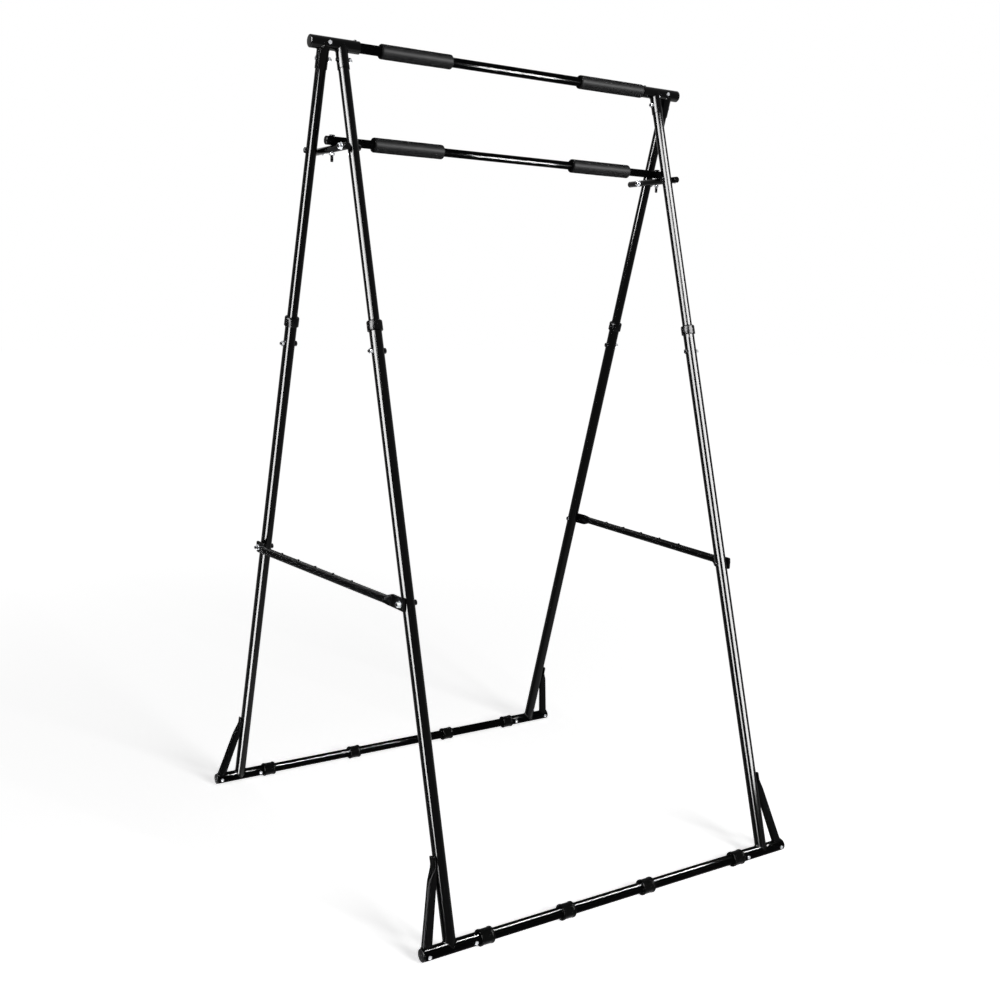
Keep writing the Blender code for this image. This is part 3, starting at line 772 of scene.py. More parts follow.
lower_leg = round_tube(LOWER_LEG_RADIUS, SOCKET_BORE, COLLAR_DROP + COLLAR_LIP + GAP, LEG_LENGTH)
ringed(lower_leg, LEG_RINGS)
cope = rod(STUB_RADIUS - WELD_DEPTH, -COPE_REACH, COPE_REACH, sides=64)
boolean(lower_leg, "DIFFERENCE", put(cope, along(Z * LEG_LENGTH, X)))
stub = round_tube(STUB_RADIUS, SOCKET_BORE, -STUB_MOUTH, STUB_OUTBOARD, sides=56)
foot_bead = bead(LOWER_LEG_RADIUS, Z * LEG_LENGTH, X, STUB_RADIUS, FOOT_BEAD, FOOT_RIPPLES)
for end, side in LEGS:
    node = f"lower_leg_{end}_{side}"
    dress(put(twin(lower_leg), leg_frame(end, side)), f"{node}_tube", BODY[end], enamel, node)
    outboard = along(foot_at(end, side), X * SIDES[side])
    dress(put(twin(stub), outboard), f"foot_stub_{end}_{side}", BODY[end], bar_enamel)
    dress(put(twin(foot_bead), leg_frame(end, side)), f"foot_weld_{end}_{side}", BODY[end], enamel)
scrap(lower_leg, stub, foot_bead)
print("lower legs: 4, each on its stub")

# %% [markdown]
# The foot braces and the crossbars are tubes whose ends were crushed flat in a press. A lattice could press
# them here too, but the result would be hard to foresee. Instead a rod gets rings along it, and every ring
# is moved to its section: round, half flat, or flat with round edges. A superellipse gives all of these,
# because it goes from a circle to a slab.


# %% Crushed tubes
def crushed(sections, sides):
    """A rod led through sections: centre, thick direction, wide direction, half sizes and flatness."""
    piece = rod(1.0, 0.0, 1.0, sides)
    pick(piece, "EDGE", lambda a, b: abs(a.z - b.z) > 0.5)
    bpy.ops.mesh.subdivide(number_cuts=len(sections) - 2)
    shape = bmesh.from_edit_mesh(piece.data)
    for vertex in shape.verts:
        centre, thick, wide, a, b, flatness = sections[round(vertex.co.z * (len(sections) - 1))]
        power = 2 / (2 + 3 * flatness)
        turn = atan2(vertex.co.y, vertex.co.x)
        across = abs(cos(turn)) ** power * (1 if cos(turn) > 0 else -1)
        beside = abs(sin(turn)) ** power * (1 if sin(turn) > 0 else -1)
        vertex.co = centre + thick * (a * across) + wide * (b * beside)
    bmesh.update_edit_mesh(piece.data)
    face_outwards()
    done()
    return piece


def eased(share):
    share = min(max(share, 0.0), 1.0)
    return share * share * (3 - 2 * share)


def blend(first, second, share):
    return first + (second - first) * share


print("a crushed tube goes from a circle to a slab")

# %% [markdown]
# A brace stiffens each foot: a short tube from the outer end of the stub up to the leg, where its flat end
# is welded on. It could be one straight tube with a flat tip, but the real one has a kink where the
# crushing begins. So its sections follow two straight runs, and it grows flat along the second.

# %% Foot braces
BRACE_RADIUS = 0.010
BRACE_SIDES = 28
BRACE_FOOT_HALF = 0.0142
BRACE_FOOT_OFFSET = 0.0645
BRACE_KINK_OFFSET = 0.0280
BRACE_KINK_HALF = 0.0122
BRACE_KINK_RISE = 0.155
BRACE_TOP_RISE = 0.216
BRACE_FLAT = (0.0022, 0.014)  # half thickness and half width
BRACE_FLAT_RISE = 0.196
BRACE_SUNK = 0.0008  # how deep its flat face sinks into the leg
BRACE_TAB_OFFSET = LOWER_LEG_RADIUS - BRACE_SUNK + BRACE_FLAT[0]
BRACE_STEPS = 8
BRACE_BEAD = 0.0015
BRACE_RIPPLES = 20
LEAN_IN = X * (BRACE_KINK_OFFSET - BRACE_FOOT_OFFSET) + Z * BRACE_KINK_RISE
TIP_ROUNDING = 0.002
STUB_REACH = 0.1


def foot_frame(end, side):
    """The frame of a foot: X runs outboard along the stub and Z up along the leg."""
    out, up = X * SIDES[side], -leg_down(end)
    return Matrix.Translation(foot_at(end, side)) @ Matrix((out, up.cross(out), up)).transposed().to_4x4()


def brace_sections():
    """The brace from inside the stub, straight up to its kink and then straight in to the leg."""
    across = Y.cross(LEAN_IN.normalized())
    rows = []
    for share in (0.0, 0.3, 0.6, 0.9):
        centre = X * BRACE_FOOT_OFFSET + LEAN_IN * share
        rows.append((centre, across, Y, blend(BRACE_FOOT_HALF, BRACE_KINK_HALF, share), BRACE_RADIUS, 0.0))
    for number in range(BRACE_STEPS):
        share = number / (BRACE_STEPS - 1)
        pressed = eased(share)
        centre = X * blend(BRACE_KINK_OFFSET, BRACE_TAB_OFFSET, share)
        centre += Z * blend(BRACE_KINK_RISE, BRACE_FLAT_RISE, share)
        thick = blend(across, X, share).normalized()
        half = [blend(full, flat, pressed) for full, flat in zip((BRACE_KINK_HALF, BRACE_RADIUS), BRACE_FLAT)]
        rows.append((centre, thick, Y, *half, pressed))
    for less in (TIP_ROUNDING, 0.0):
        centre = X * BRACE_TAB_OFFSET + Z * (BRACE_TOP_RISE - less)
        rows.append((centre, X, Y, BRACE_FLAT[0], BRACE_FLAT[1] - TIP_ROUNDING + less, 1.0))
    return rows


brace = crushed(brace_sections(), BRACE_SIDES)
in_stub = rod(STUB_RADIUS - WELD_DEPTH, -STUB_REACH, STUB_REACH, sides=64)
boolean(brace, "DIFFERENCE", put(in_stub, along(Vector(), X)))
brace_foot = along(X * BRACE_FOOT_OFFSET, LEAN_IN)
stub_way = brace_foot.inverted().to_3x3() @ X
brace_bead = bead(BRACE_RADIUS, Vector(), stub_way, STUB_RADIUS, BRACE_BEAD, BRACE_RIPPLES, far=True)
put(brace_bead, Matrix.Diagonal((BRACE_FOOT_HALF / BRACE_RADIUS, 1, 1, 1)))
put(brace_bead, brace_foot)
for end, side in LEGS:
    foot = foot_frame(end, side)
    dress(put(twin(brace), foot), f"foot_brace_{end}_{side}", BODY[end], satin)
    dress(put(twin(brace_bead), foot), f"brace_weld_{end}_{side}", BODY[end], enamel)
scrap(brace, brace_bead)
print("foot braces: 4")

# %% [markdown]
# A crossbar is a tube flattened at both ends and bolted to the outer face of a rear and a front leg. The
# legs don't stand in one plane, so the bar could be made straight and turned a little. The real one lies
# flat on both seats, so its middle part steps inwards from one flat end to the other instead.

# %% Crossbars
CROSSBAR_RADIUS = 0.011
CROSSBAR_SIDES = 32
CROSSBAR_TAB = (0.0035, 0.0165)  # half thickness and half height of the flat ends
TAB_END = 0.0145
TAB_CORNER = 0.002
TAB_FLAT = 0.040
TAB_BLEND = 0.020
ROUND_FROM = TAB_FLAT + TAB_BLEND + 0.01
CROSSBAR_Z = middle("crossbar_left").z
CROSSBAR_Y = (HEAD_Z - CROSSBAR_Z) * tan(LEAN)
CROSSBAR_LENGTH = 2 * CROSSBAR_Y
STEP_IN = LEG_X["rear"] - LEG_X["front"]
CROSSBAR_START_X = LEG_X["rear"] + LOWER_LEG_RADIUS + GAP


def crossbar_offset(run):
    """How far a crossbar's axis stands off the plane of its rear bolt's seat, less its half thickness."""
    return -STEP_IN * min(max((run - TAB_FLAT) / (CROSSBAR_LENGTH - 2 * TAB_FLAT), 0.0), 1.0)


def crossbar_sections(out):
    runs = [-TAB_END, -TAB_END + TAB_CORNER, 0.0, TAB_FLAT]
    runs += [TAB_FLAT + TAB_BLEND * share for share in (0.2, 0.4, 0.6, 0.8, 1.0)]
    middle_runs = [ROUND_FROM, CROSSBAR_LENGTH / 2, CROSSBAR_LENGTH - ROUND_FROM]
    rows = []
    for run in runs + middle_runs + [CROSSBAR_LENGTH - run for run in reversed(runs)]:
        from_end = min(run, CROSSBAR_LENGTH - run)
        pressed = 1 - eased((from_end - TAB_FLAT) / TAB_BLEND)
        a, b = [blend(CROSSBAR_RADIUS, flat, pressed) for flat in CROSSBAR_TAB]
        if from_end < -TAB_END + TAB_CORNER / 2:
            b -= TAB_CORNER / 2
        rows.append((out * (a + crossbar_offset(run)) - Y * run, out, Z, a, b, pressed))
    return rows


for side, sign in SIDES.items():
    piece = crushed(crossbar_sections(X * sign), CROSSBAR_SIDES)
    put(piece, Matrix.Translation(Vector((sign * CROSSBAR_START_X, CROSSBAR_Y, CROSSBAR_Z))))
    dress(piece, f"crossbar_{side}_tube", f"crossbar_{side}", satin, f"crossbar_{side}")
print("crossbars: 2,", round(CROSSBAR_LENGTH, 3), "m between bolts")

# %% [markdown]
# Five small plugs close the holes in the top of each crossbar. A half ball could stand for each, but a
# moulded plug is a button: a rod whose top edge is rounded and whose stem is drawn down into the tube. It
# is modelled once and copied.

# %% Plugs in the crossbars
PLUG_START = 0.165
PLUG_PITCH = 0.0968
PLUG_COUNT = 5
PLUG_RADIUS = 0.0036
PLUG_FOOT = -0.0008
PLUG_TOP = 0.0026
PLUG_WALL = 0.0013
PLUG_STEM = 0.003
PLUG_ROUNDING = 0.0017


def underside(centre, normal):
    return normal.z < -0.99


plug = rod(PLUG_RADIUS, PLUG_FOOT, PLUG_TOP, sides=28)
break_rim(plug, PLUG_TOP, PLUG_RADIUS, PLUG_ROUNDING, segments=4)
pick(plug, "FACE", underside)
bpy.ops.mesh.inset(thickness=PLUG_WALL)
bpy.ops.mesh.extrude_region_move(TRANSFORM_OT_translate={"value": (0, 0, -PLUG_STEM)})
done()
for side, sign in SIDES.items():
    for number in range(PLUG_COUNT):
        run = PLUG_START + number * PLUG_PITCH
        aside = sign * (CROSSBAR_START_X + CROSSBAR_RADIUS + crossbar_offset(run))
        seat = Vector((aside, CROSSBAR_Y - run, CROSSBAR_Z + CROSSBAR_RADIUS))
        piece = put(twin(plug), Matrix.Translation(seat))
        dress(piece, f"crossbar_{side}_plug_{number + 1}", f"crossbar_{side}", plastic)
scrap(plug)
print("plugs:", len(SIDES) * PLUG_COUNT)

# %% [markdown]
# The lower bar rests on a short tube on each side, bolted between the front and the rear leg. On the floor,
# a long tube runs through the foot stubs of each base. Both are plain round tubes like the bars, so the
# same function makes them, and caps will close their ends.

# %% Carriers and base tubes
CARRIER_RADIUS = 0.009
CARRIER_BORE = 0.0075
CARRIER_SIDES = 40
BASE_TUBE_RADIUS = 0.014
BASE_TUBE_BORE = 0.0125

for side in SIDES:
    tube_for(f"bar_carrier_{side}", Y, CARRIER_RADIUS, CARRIER_BORE, "upper_frame", enamel, CARRIER_SIDES)
for end in ENDS:
    tube_for(f"base_tube_{end}", X, BASE_TUBE_RADIUS, BASE_TUBE_BORE, BODY[end], bar_enamel)
print("carriers: 2, base tubes: 2")

# %% [markdown]
# A cap is a plug that is pushed into the tube and a rim that covers its end. The plug is hidden and could
# be left out, but it keeps the cap a true moulding in the exported model. One function draws the four
# sizes, and the rim's well rounded edge is what catches the light.

# %% End caps and end plugs
PLUG_TAPER = 0.94  # the inner end of a plug as a share of its outer end


def cap_model(radius, bore, thickness, rounding, plug):
    piece = rod(radius, 0.0, thickness)
    break_rim(piece, thickness, radius, rounding, segments=6)
    pick(piece, "FACE", underside)
    bpy.ops.mesh.inset(thickness=radius - bore)
    bpy.ops.mesh.extrude_region_move(TRANSFORM_OT_translate={"value": (0, 0, -plug)})
    bpy.ops.transform.resize(value=(PLUG_TAPER, PLUG_TAPER, 1.0))
    done()
    return piece


head_cap = cap_model(HEAD_RADIUS, bore=0.0127, thickness=0.004, rounding=0.0028, plug=0.016)
base_cap = cap_model(STUB_RADIUS, bore=0.0122, thickness=0.004, rounding=0.0018, plug=0.016)
bar_plug = cap_model(BAR_RADIUS["lower"], bore=0.0088, thickness=0.003, rounding=0.0018, plug=0.010)
carrier_plug = cap_model(CARRIER_RADIUS, bore=0.0072, thickness=0.003, rounding=0.0016, plug=0.010)


def end_face(node, way):
    """The middle of the face that ends a node's box in a direction, a gap outside it."""
    return middle(node) + way * (abs(span(node).dot(way)) / 2 + GAP)


def close_end(model, tube, way, name, body, finish, *nodes):
    """Sets a copy of a cap or a plug on the end of a tube."""
    at = end_face(tube, way)
    if tube.startswith("head"):
        at.y, at.z = 0, HEAD_Z
    dress(put(twin(model), along(at, way)), name, body, finish, *nodes)


for side, sign in SIDES.items():
    out = X * sign
    node = f"head_cap_{side}"
    close_end(head_cap, f"head_{side}", out, f"{node}_moulded", "upper_frame", cap_plastic, node)
    for end in ENDS:
        node = f"base_cap_{end}_{side}"
        close_end(base_cap, f"base_tube_{end}", out, f"{node}_moulded", BODY[end], plastic, node)
    close_end(bar_plug, "lower_bar", out, f"lower_bar_plug_{side}", "upper_frame", plastic)
    for end, way in ENDS.items():
        name = f"carrier_plug_{end}_{side}"
        close_end(carrier_plug, f"bar_carrier_{side}", Y * way, name, "upper_frame", plastic)
scrap(head_cap, base_cap, bar_plug, carrier_plug)
print("caps: 6, end plugs: 6")

# %% [markdown]
# A plastic collar sits on the top of each lower leg and guides the upper one. It could be a plain ring, but
# the real one has a wide bevel where the upper leg enters and a lip that rests on the lower leg's end. So
# the wider hole for the lower leg is cut only up to that lip.

# %% Leg collars
COLLAR_RADIUS = 0.0198
COLLAR_HEIGHT = 0.026
COLLAR_FOOT = COLLAR_DROP + COLLAR_HEIGHT
COLLAR_BEVEL = 0.004
COLLAR_RIM = 0.001

collar = round_tube(COLLAR_RADIUS, UPPER_LEG_RADIUS + GAP, COLLAR_DROP, COLLAR_FOOT, sides=56, rim=0)
break_rim(collar, COLLAR_DROP, COLLAR_RADIUS, COLLAR_BEVEL, segments=4)
break_rim(collar, COLLAR_FOOT, COLLAR_RADIUS, COLLAR_RIM)
seat = rod(LOWER_LEG_RADIUS + GAP, COLLAR_DROP + COLLAR_LIP, COLLAR_FOOT + BORE_PAST, sides=56)
boolean(collar, "DIFFERENCE", seat)
for end, side in LEGS:
    node = f"leg_collar_{end}_{side}"
    dress(put(twin(collar), leg_frame(end, side)), f"{node}_moulded", BODY[end], plastic, node)
scrap(collar)
print("collars: 4")

# %% [markdown]
# Eight rubber rings keep the base tubes off the floor. Each is a short thick tube with round shoulders and
# a raised lip at each end. The lips could be added on, but it takes less to sink the middle: the side faces
# are inset twice and drawn in, which leaves a waist between two lips.

# %% Floor rings
RING_RADIUS = 0.0205
RING_HALF = 0.019
RING_SHOULDER = 0.0022
RING_LIP = 0.0035
WAIST_SLOPE = 0.0012
WAIST_DEPTH = 0.0011
WAIST_SCALE = (RING_RADIUS - WAIST_DEPTH) / RING_RADIUS

ring = round_tube(RING_RADIUS, SOCKET_BORE, -RING_HALF, RING_HALF, sides=56, rim=0)
for z in (-RING_HALF, RING_HALF):
    break_rim(ring, z, RING_RADIUS, RING_SHOULDER, segments=3)
pick(ring, "FACE", lambda centre, normal: abs(centre.z) < 0.001 and hypot(centre.x, centre.y) > 0.018)
bpy.ops.mesh.inset(thickness=RING_LIP, use_boundary=True, use_even_offset=True)
bpy.ops.mesh.inset(thickness=WAIST_SLOPE)
bpy.ops.transform.resize(value=(WAIST_SCALE, WAIST_SCALE, 1.0))
done()
for end in ENDS:
    for where in ("left", "mid_left", "mid_right", "right"):
        node = f"floor_ring_{end}_{where}"
        dress(put(twin(ring), along(middle(node), X)), f"{node}_moulded", BODY[end], rubber, node)
scrap(ring)
print("floor rings: 8")

# %% [markdown]
# The frame's bolts are M8. A head and a nut are six-sided blocks whose corners are turned off. A bevel would
# round all edges alike, while a cone that cuts the block leaves the well-known arcs. The thread is a small
# triangle swept round by the Screw modifier. One bolt and one nut are modelled for all places.

# %% One bolt, one nut and one washer
BOLT_RADIUS = 0.004
CORE_RADIUS = BOLT_RADIUS - 0.0004
THREAD_ROOT = BOLT_RADIUS - 0.0002
OVERLAP = 0.001  # how far a shape reaches past another that it is joined to or cuts
TIP_ROUND = 0.0008
HEAD_FLATS = 0.0065  # from the middle to a flat
HEAD_HEIGHT = 0.0053
NUT_HEIGHT = 0.0065
WASHER_THICKNESS = 0.0014
THREAD_PITCH = 0.00125
THREAD_SIZE = 0.42 * THREAD_PITCH
THREAD_LENGTH = 0.018
MODEL_LENGTH = 0.040
FACE_RADIUS = 0.97 * HEAD_FLATS  # the round face that turning leaves on a head


def hex_block(height, both):
    """A six-sided block from z = 0 up, its corners turned off by a cone on the top, and below too."""
    piece = rod(HEAD_FLATS / cos(pi / 6), 0, height, sides=6)
    slope = tan(radians(60))
    for turned in (0, pi) if both else (0,):
        select_only()
        bpy.ops.mesh.primitive_cone_add(
            vertices=48, radius1=FACE_RADIUS + height * slope, radius2=FACE_RADIUS,
            depth=height, location=(0, 0, height / 2), rotation=(turned, 0, 0),
        )
        boolean(piece, "INTERSECT", bpy.context.object)
    return piece


def thread(start, stop):
    """A helical ridge on the shank from one height to another."""
    select_only()
    bpy.ops.mesh.primitive_circle_add(
        vertices=3, radius=THREAD_SIZE, location=(THREAD_ROOT, 0, start),
        rotation=(pi / 2, pi / 2, 0), fill_type="NOTHING",
    )
    piece = bpy.context.object
    bpy.ops.object.transform_apply(location=True, rotation=True, scale=True)
    turns = max(int((stop - start) / THREAD_PITCH), 1)
    apply_modifier(
        piece, "SCREW", axis="Z", angle=2 * pi, screw_offset=THREAD_PITCH, iterations=turns, steps=20,
        render_steps=20, use_merge_vertices=True, merge_threshold=1e-6,
    )
    pick(piece, "FACE", whole)
    bpy.ops.mesh.fill_holes(sides=3)
    face_outwards()
    done()
    return piece


def shank(start, stop):
    """The core of a bolt, with a rounded tip."""
    piece = rod(CORE_RADIUS, start, stop, sides=24)
    break_rim(piece, stop, CORE_RADIUS, TIP_ROUND)
    return piece


def washer(radius):
    return round_tube(radius, BOLT_RADIUS + GAP, 0, WASHER_THICKNESS, sides=40, rim=0.0003)


head_block = put(hex_block(HEAD_HEIGHT, both=False), Matrix.Rotation(pi, 4, "X"))
core = shank(-OVERLAP, MODEL_LENGTH)
ridge = thread(MODEL_LENGTH - THREAD_LENGTH, MODEL_LENGTH - 2 * THREAD_PITCH)
bolt_model = joined(head_block, core, ridge)
nut_model = hex_block(NUT_HEIGHT, both=True)
boolean(nut_model, "DIFFERENCE", rod(THREAD_ROOT, -OVERLAP, NUT_HEIGHT + OVERLAP, sides=32))
print("bolt", len(bolt_model.data.polygons), "faces, nut", len(nut_model.data.polygons), "faces")

# %% [markdown]
# The 20 bolts of the CAD part differ in length. Scaling the model would stretch its head and its thread as
# well, so only the vertices of its threaded half are moved along. Where a bolt's solid lies gives its
# centre line and its length, and its nut sits a tip's length before its end.


# %% Bolts, nuts and washers in their places
def stretched_bolt(length, head_height, slim=1.0):
    """A copy of the bolt with another length and another head."""
    piece = twin(bolt_model)
    for vertex in piece.data.vertices:
        if vertex.co.z > MODEL_LENGTH / 4:
            vertex.co.z += length - MODEL_LENGTH
        elif vertex.co.z < 0:
            vertex.co.z *= head_height / HEAD_HEIGHT
        if vertex.co.z < 1e-6:
            vertex.co.x, vertex.co.y = vertex.co.x * slim, vertex.co.y * slim
    return piece


def fit_bolt(
    node, way, body, tip=0.004, nut=True, washer_radius=0.0, head=HEAD_HEIGHT, low=1.0, slim=1.0, trim=0.0,
    finish=bolt_black,
):
    """Puts a bolt where a CAD bolt lies. Low and slim make its head smaller, and trim its tip shorter."""
    length = abs(span(node).dot(way))
    seat = middle(node) - way * (length / 2 - head)
    bolt = put(stretched_bolt(length - head - trim, head * low, slim), along(seat, way))
    dress(bolt, f"{node}_steel", body, finish, node)
    if nut:
        nut_seat = seat + way * (length - head - tip - NUT_HEIGHT)
        dress(put(twin(nut_model), along(nut_seat, way)), f"{node}_nut", body, zinc)
    if washer_radius:
        ring = put(washer(washer_radius), along(nut_seat - way * WASHER_THICKNESS, way))
        dress(ring, f"{node}_washer", body, zinc)


CARRIER_WASHER = 0.0095
CROSSBAR_WASHER = 0.0085
SOCKET_BOLT_TIP = {"front": 0.012, "rear": 0.005}
SOCKET_BOLT_REST = 0.003  # what is left of the tip in sight

for side, sign in SIDES.items():
    out = X * sign
    fit_bolt(f"bar_bolt_{side}", Y, "upper_frame", nut=False, low=0.6, slim=0.72, finish=zinc)
    fit_bolt(f"seat_bolt_{side}", -Z, "upper_frame", tip=0.016, head=0.003)
    for end, way in ENDS.items():
        tip = SOCKET_BOLT_TIP[end]
        trim = tip - SOCKET_BOLT_REST
        fit_bolt(f"socket_bolt_{end}_{side}", -out, "upper_frame", tip, low=0.2, slim=0.8, trim=trim)
        fit_bolt(f"carrier_bolt_{end}_{side}", -out * way, "upper_frame", washer_radius=CARRIER_WASHER)
        fit_bolt(f"lock_bolt_{end}_{side}", out, BODY[end])
    fit_bolt(f"crossbar_bolt_rear_{side}", out, "rear_base", washer_radius=CROSSBAR_WASHER)
    fit_bolt(f"crossbar_bolt_front_{side}", out, "front_base", nut=False)
print("bolts: 20")

# %% [markdown]
# A crossbar's front bolt is loosened before the stand is raised. Its nut could ride with the bolt on the
# front leg, but then the crossbar would swing down out of it. So the nut, the washer and the tip of the
# bolt belong to the crossbar here.

# %% The crossbars' front nuts
TIP_INSIDE = 0.006  # of the bolt's tip, before the washer's outer face
TIP_OUTSIDE = 0.004  # of the bolt's tip, beyond the nut
THREAD_OUTSIDE = 0.002  # of its thread, beyond the nut

for side, sign in SIDES.items():
    out = X * sign
    name, body = f"crossbar_{side}_front", f"crossbar_{side}"
    outer_face = CROSSBAR_START_X - STEP_IN + 2 * CROSSBAR_TAB[0] + GAP
    at = Vector((sign * outer_face, -CROSSBAR_Y, CROSSBAR_Z))
    dress(put(washer(CROSSBAR_WASHER), along(at, out)), f"{name}_washer", body, zinc)
    on_washer = along(at + out * WASHER_THICKNESS, out)
    dress(put(twin(nut_model), on_washer), f"{name}_nut", body, zinc)
    core = shank(-TIP_INSIDE, NUT_HEIGHT + TIP_OUTSIDE)
    tip = joined(core, thread(-OVERLAP, NUT_HEIGHT + THREAD_OUTSIDE))
    dress(put(tip, on_washer), f"{name}_tip", body, bolt_black)
print("front nuts: 2")

# %% [markdown]
# Two short bright bolts hold the base tube in each stub. They could be typed as new models, but they are
# the same hardware a size smaller. So the bolt and the nut are copied once more and scaled down.

# %% Bolts through the foot stubs
STUB_BOLT_OFFSET = 0.064
STUB_BOLT_SCALE = 0.68
STUB_BOLT_TIP = 0.003
STUB_HEAD_SHARE = 0.7  # of the usual height of a head

smaller = Matrix.Scale(STUB_BOLT_SCALE, 4)
length = (2 * STUB_RADIUS + STUB_BOLT_TIP) / STUB_BOLT_SCALE + NUT_HEIGHT
for end, side in LEGS:
    inwards = -Y * ENDS[end]
    for place, offset in (("outer", STUB_BOLT_OFFSET), ("inner", -STUB_BOLT_OFFSET)):
        seat = foot_at(end, side) + X * (SIDES[side] * offset) - inwards * STUB_RADIUS
        name = f"stub_bolt_{end}_{side}_{place}"
        bolt = put(stretched_bolt(length, HEAD_HEIGHT * STUB_HEAD_SHARE), along(seat, inwards) @ smaller)
        dress(bolt, name, BODY[end], zinc)
        nut = put(twin(nut_model), along(seat + inwards * 2 * STUB_RADIUS, inwards) @ smaller)
        dress(nut, f"{name}_nut", BODY[end], zinc)
scrap(bolt_model, nut_model)
print("stub bolts: 8")

# %% [markdown]
# A small screw with a hollow in its head holds the top bar at the inner end of each head tube. A flat disc
# would do from afar. Here the top of a rod is rounded, inset and sunk, which gives the hollow.

# %% Screws at the inner ends of the head tubes
SCREW_X = 0.472
SCREW_RADIUS = 0.0042
SCREW_TOP = 0.0025
SCREW_ROUNDING = 0.0018
SCREW_WALL = 0.0004
SCREW_HOLLOW = 0.0014

screw = rod(SCREW_RADIUS, -OVERLAP, SCREW_TOP, sides=32)
break_rim(screw, SCREW_TOP, SCREW_RADIUS, SCREW_ROUNDING, segments=4)
pick(screw, "FACE", lambda centre, normal: normal.z > 0.99)
bpy.ops.mesh.inset(thickness=SCREW_WALL)
bpy.ops.mesh.extrude_region_move(TRANSFORM_OT_translate={"value": (0, 0, -SCREW_HOLLOW)})
done()
for side, sign in SIDES.items():
    seat = Vector((sign * SCREW_X, 0, HEAD_Z + HEAD_RADIUS - GAP))
    dress(put(twin(screw), Matrix.Translation(seat)), f"head_screw_{side}", "upper_frame", bolt_black)
scrap(screw)
print("head screws: 2")

# %% [markdown]
# The picture is taken from the front left at eye height, with a square frame. A camera could be aimed by
# trying. This one was fitted to the straight tubes in the photograph, so its place, its three angles and
# its lens are written down.

# %% The camera
CAMERA_AT = Vector((-1.8797, -2.8607, 1.5232))
CAMERA_YAW, CAMERA_PITCH, CAMERA_ROLL = radians(33.3371), radians(-9.2861), radians(1.5488)
CAMERA_LENS = 43.19
SENSOR = 36.0

flat = cos(CAMERA_PITCH)
ahead = Vector((sin(CAMERA_YAW) * flat, cos(CAMERA_YAW) * flat, sin(CAMERA_PITCH)))
level = Vector((cos(CAMERA_YAW), -sin(CAMERA_YAW), 0))
upward = level.cross(ahead)
camera_right = level * cos(CAMERA_ROLL) + upward * sin(CAMERA_ROLL)
camera_up = upward * cos(CAMERA_ROLL) - level * sin(CAMERA_ROLL)
lens = bpy.data.cameras.new("camera")
lens.lens = CAMERA_LENS
lens.sensor_width = SENSOR
camera = bpy.data.objects.new("camera", lens)
bpy.context.scene.collection.objects.link(camera)
turned = Matrix((camera_right, camera_up, -ahead)).transposed().to_4x4()
camera.matrix_world = Matrix.Translation(CAMERA_AT) @ turned
bpy.context.scene.camera = camera
print("camera", [round(c, 3) for c in CAMERA_AT])

# %% [markdown]
# The stand is shown on white. A backdrop lit until it is white would light the stand as well. So the floor
# is a large pale sheet that glows only for the camera, a little more far off than near the feet, and keeps
# a faint shadow.

# %% The floor
FLOOR_SIZE = 60
FLOOR_DROP = 0.0005  # below the feet
NEAR_GLOW = 0.68
FAR_GLOW = 0.22  # added to it from 1 m to 5 m away

select_only()
bpy.ops.mesh.primitive_plane_add(size=FLOOR_SIZE, location=(0, 0, -FLOOR_DROP))
floor = bpy.context.object
floor.name = "floor"
white, recipe, shader = material("white_floor")
rays = recipe.node("ShaderNodeLightPath")
seen = rays.value("Is Camera Ray").or_more(rays.value("Is Transmission Ray"))
shader.inputs["Roughness"].default_value = 1.0
shader.inputs["Specular IOR Level"].default_value = 0.0
shader.inputs["Base Color"].default_value = (0.9, 0.9, 0.9, 1)
shader.inputs["Emission Color"].default_value = (1, 1, 1, 1)
place = recipe.node("ShaderNodeSeparateXYZ", None, {0: recipe.node("ShaderNodeTexCoord").out("Object")})
x, y = place.value(0), place.value(1)
away = (x * x + y * y).root()
glow = ((away - 1.0) / 4.0).clamped() * FAR_GLOW + NEAR_GLOW
recipe.feed(shader.inputs["Emission Strength"], seen * glow)
floor.data.materials.append(white)
floor.visible_glossy = False
print("floor ready")

# %% [markdown]
# Black gloss shows only what it mirrors, and the hard white streaks on the real tubes are a studio's
# panels. Strong lamps could make them, but they would light the foam and the floor too. So the world has
# bright panels that only gloss sees: a tall one with a low foot on the left, a fainter one above it, and a
# soft glow from below. On everything else the world sheds a plain faint white.

# %% The world and its panels
PANEL = 240.0
CROWN = 0.6
GLOW_BELOW = 5.0
PLAIN_LIGHT = 0.12
WHITE = 0.88


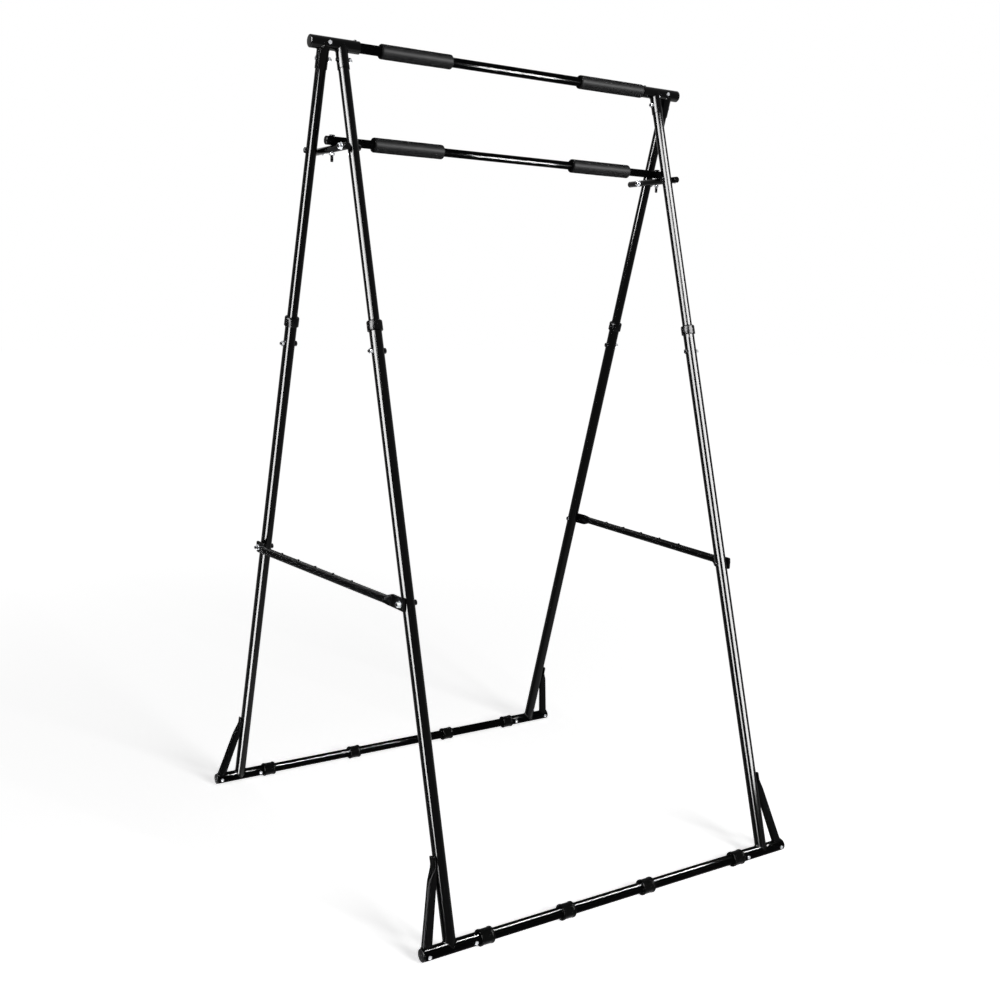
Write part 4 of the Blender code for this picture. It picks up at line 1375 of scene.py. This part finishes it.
def make_world():
    world = bpy.data.worlds.new("studio")
    bpy.context.scene.world = world
    world.use_nodes = True
    recipe = Recipe(world.node_tree)
    rays = recipe.node("ShaderNodeLightPath")
    direction = recipe.node("ShaderNodeTexCoord").out("Generated")
    parts = recipe.node("ShaderNodeSeparateXYZ", None, {0: direction})
    x, y, z = parts.value(0), parts.value(1), parts.value(2)
    reach = (x * x + y * y).root()

    def facing(azimuth, half_width):
        """1 within so many degrees of an azimuth, which counts from +X towards +Y."""
        heading = (x * cos(radians(azimuth)) + y * sin(radians(azimuth))) / reach
        return heading > cos(radians(half_width))

    tall = facing(191, 19) * (z > -0.02) * ((0.68 - z) * 9.0).clamped()
    foot = facing(199, 11) * (z > -0.10) * (z < 0.0)
    crown = facing(213, 15) * (z > 0.40) * ((0.70 - z) * 4.0).clamped()
    below = ((-0.55 - z) * 2.5).clamped()
    panels = tall.or_more(foot).or_more(crown * CROWN) * PANEL + below * GLOW_BELOW
    glossy = rays.value("Is Glossy Ray")
    seen = rays.value("Is Camera Ray").or_more(glossy).or_more(rays.value("Is Transmission Ray"))
    background = world.node_tree.nodes["Background"]
    background.inputs["Color"].default_value = (1, 1, 1, 1)
    recipe.feed(background.inputs["Strength"], seen * WHITE + PLAIN_LIGHT + panels * glossy)


make_world()
print("world ready")

# %% [markdown]
# One soft lamp in front lights the foam and the floor, and gloss doesn't mirror it. The world's panels give
# many pieces their streaks, but panels of a real studio stand close, and each is mirrored by a few pieces
# only. A panel in the world can't do that. So each of those is an area lamp that only the gloss of its own
# pieces sees, which light linking allows.


# %% Lamps
def area_lamp(name, at, target, size, power):
    data = bpy.data.lights.new(name, "AREA")
    data.shape = "RECTANGLE"
    data.size, data.size_y = size
    data.energy = power
    lamp = bpy.data.objects.new(name, data)
    bpy.context.scene.collection.objects.link(lamp)
    back = Vector(at) - Vector(target)
    upright = Z.cross(back) if abs(back.normalized().z) < 0.99 else X
    lamp.matrix_world = along(Vector(at), back, upright)
    lamp.visible_camera = False
    return lamp


def gloss_panel(name, at, target, size, brightness, pieces):
    """A panel that only the gloss of some pieces mirrors, so many times as bright as the world's panels."""
    lamp = area_lamp(name, at, target, size, brightness * PANEL * pi * size[0] * size[1])
    lamp.visible_diffuse = False
    near = bpy.data.collections.new(f"{name}_pieces")
    for piece in pieces:
        near.objects.link(bpy.data.objects[piece])
    lamp.light_linking.receiver_collection = near


def leg_pieces(leg):
    return [f"upper_leg_{leg}_tube", f"lower_leg_{leg}_tube", f"leg_collar_{leg}_moulded"]


def base_pieces(end):
    return [f"base_tube_{end}_tube"] + [f"foot_stub_{end}_{side}" for side in SIDES]


key = area_lamp("key_lamp", at=(0.6, -4.9, 2.5), target=(0, 0, 1.4), size=(2.0, 2.0), power=230)
key.visible_glossy = False

right_leg = leg_pieces("front_right")
left_leg = leg_pieces("rear_left")
far_leg = ["upper_leg_rear_right_tube"]
bars = [f"{level}_bar_tube" for level in BAR_RADIUS]
grips = [f"{level}_grip_{side}_foam" for level in BAR_RADIUS for side in SIDES]
front, rear = base_pieces("front"), base_pieces("rear")
crossbars = [f"crossbar_{side}_tube" for side in SIDES]
gloss_panel("front_right_panel", (1.1, -3.1, 2.2), (0.57, -0.3, 1.2), (2.8, 3.6), 1, right_leg)
gloss_panel("rear_left_panel", (-3.1, -1.4, -0.7), (-0.57, 0.35, 1.0), (1.7, 4.0), 1, left_leg)
gloss_panel("rear_right_panel", (-2.4, -0.15, 1.65), (0.56, 0.1, 1.8), (0.9, 0.9), 1.5, far_leg)
gloss_panel("bar_panel", (2.3, -3.1, 1.0), (2.3, 0, 2.05), (1.5, 2.4), FAINTER, bars)
gloss_panel("grip_panel", (2.4, -4.0, 2.7), (0, 0, 2.0), (1.4, 1.0), 2 * FAINTER, grips)
gloss_panel("front_base_panel", (1.7, -0.85, 2.6), (1.7, -0.85, 0.0), (3.2, 0.8), FAINTER, front)
gloss_panel("front_foot_panel", (0.3, -0.85, 2.6), (0.3, -0.85, 0.0), (1.2, 0.8), FAINTER, front)
gloss_panel("rear_base_panel", (1.0, -1.2, 2.6), (1.0, -1.2, 0.0), (1.2, 0.8), FAINTER, rear)
gloss_panel("rear_foot_panel", (0.25, -1.2, 2.6), (0.25, -1.2, 0.0), (1.3, 0.8), 2 * FAINTER, rear)
gloss_panel("crossbar_panel", (0.0, 3.2, 2.6), (0, 0, 0.8), (3.0, 0.2), 0.2, crossbars)
print("lamps:", len(bpy.data.lights))

# %% [markdown]
# The colours here are meant to render as they are written, so the view transform is Standard.

# %% Finish
scene = bpy.context.scene
scene.view_settings.view_transform = "Standard"
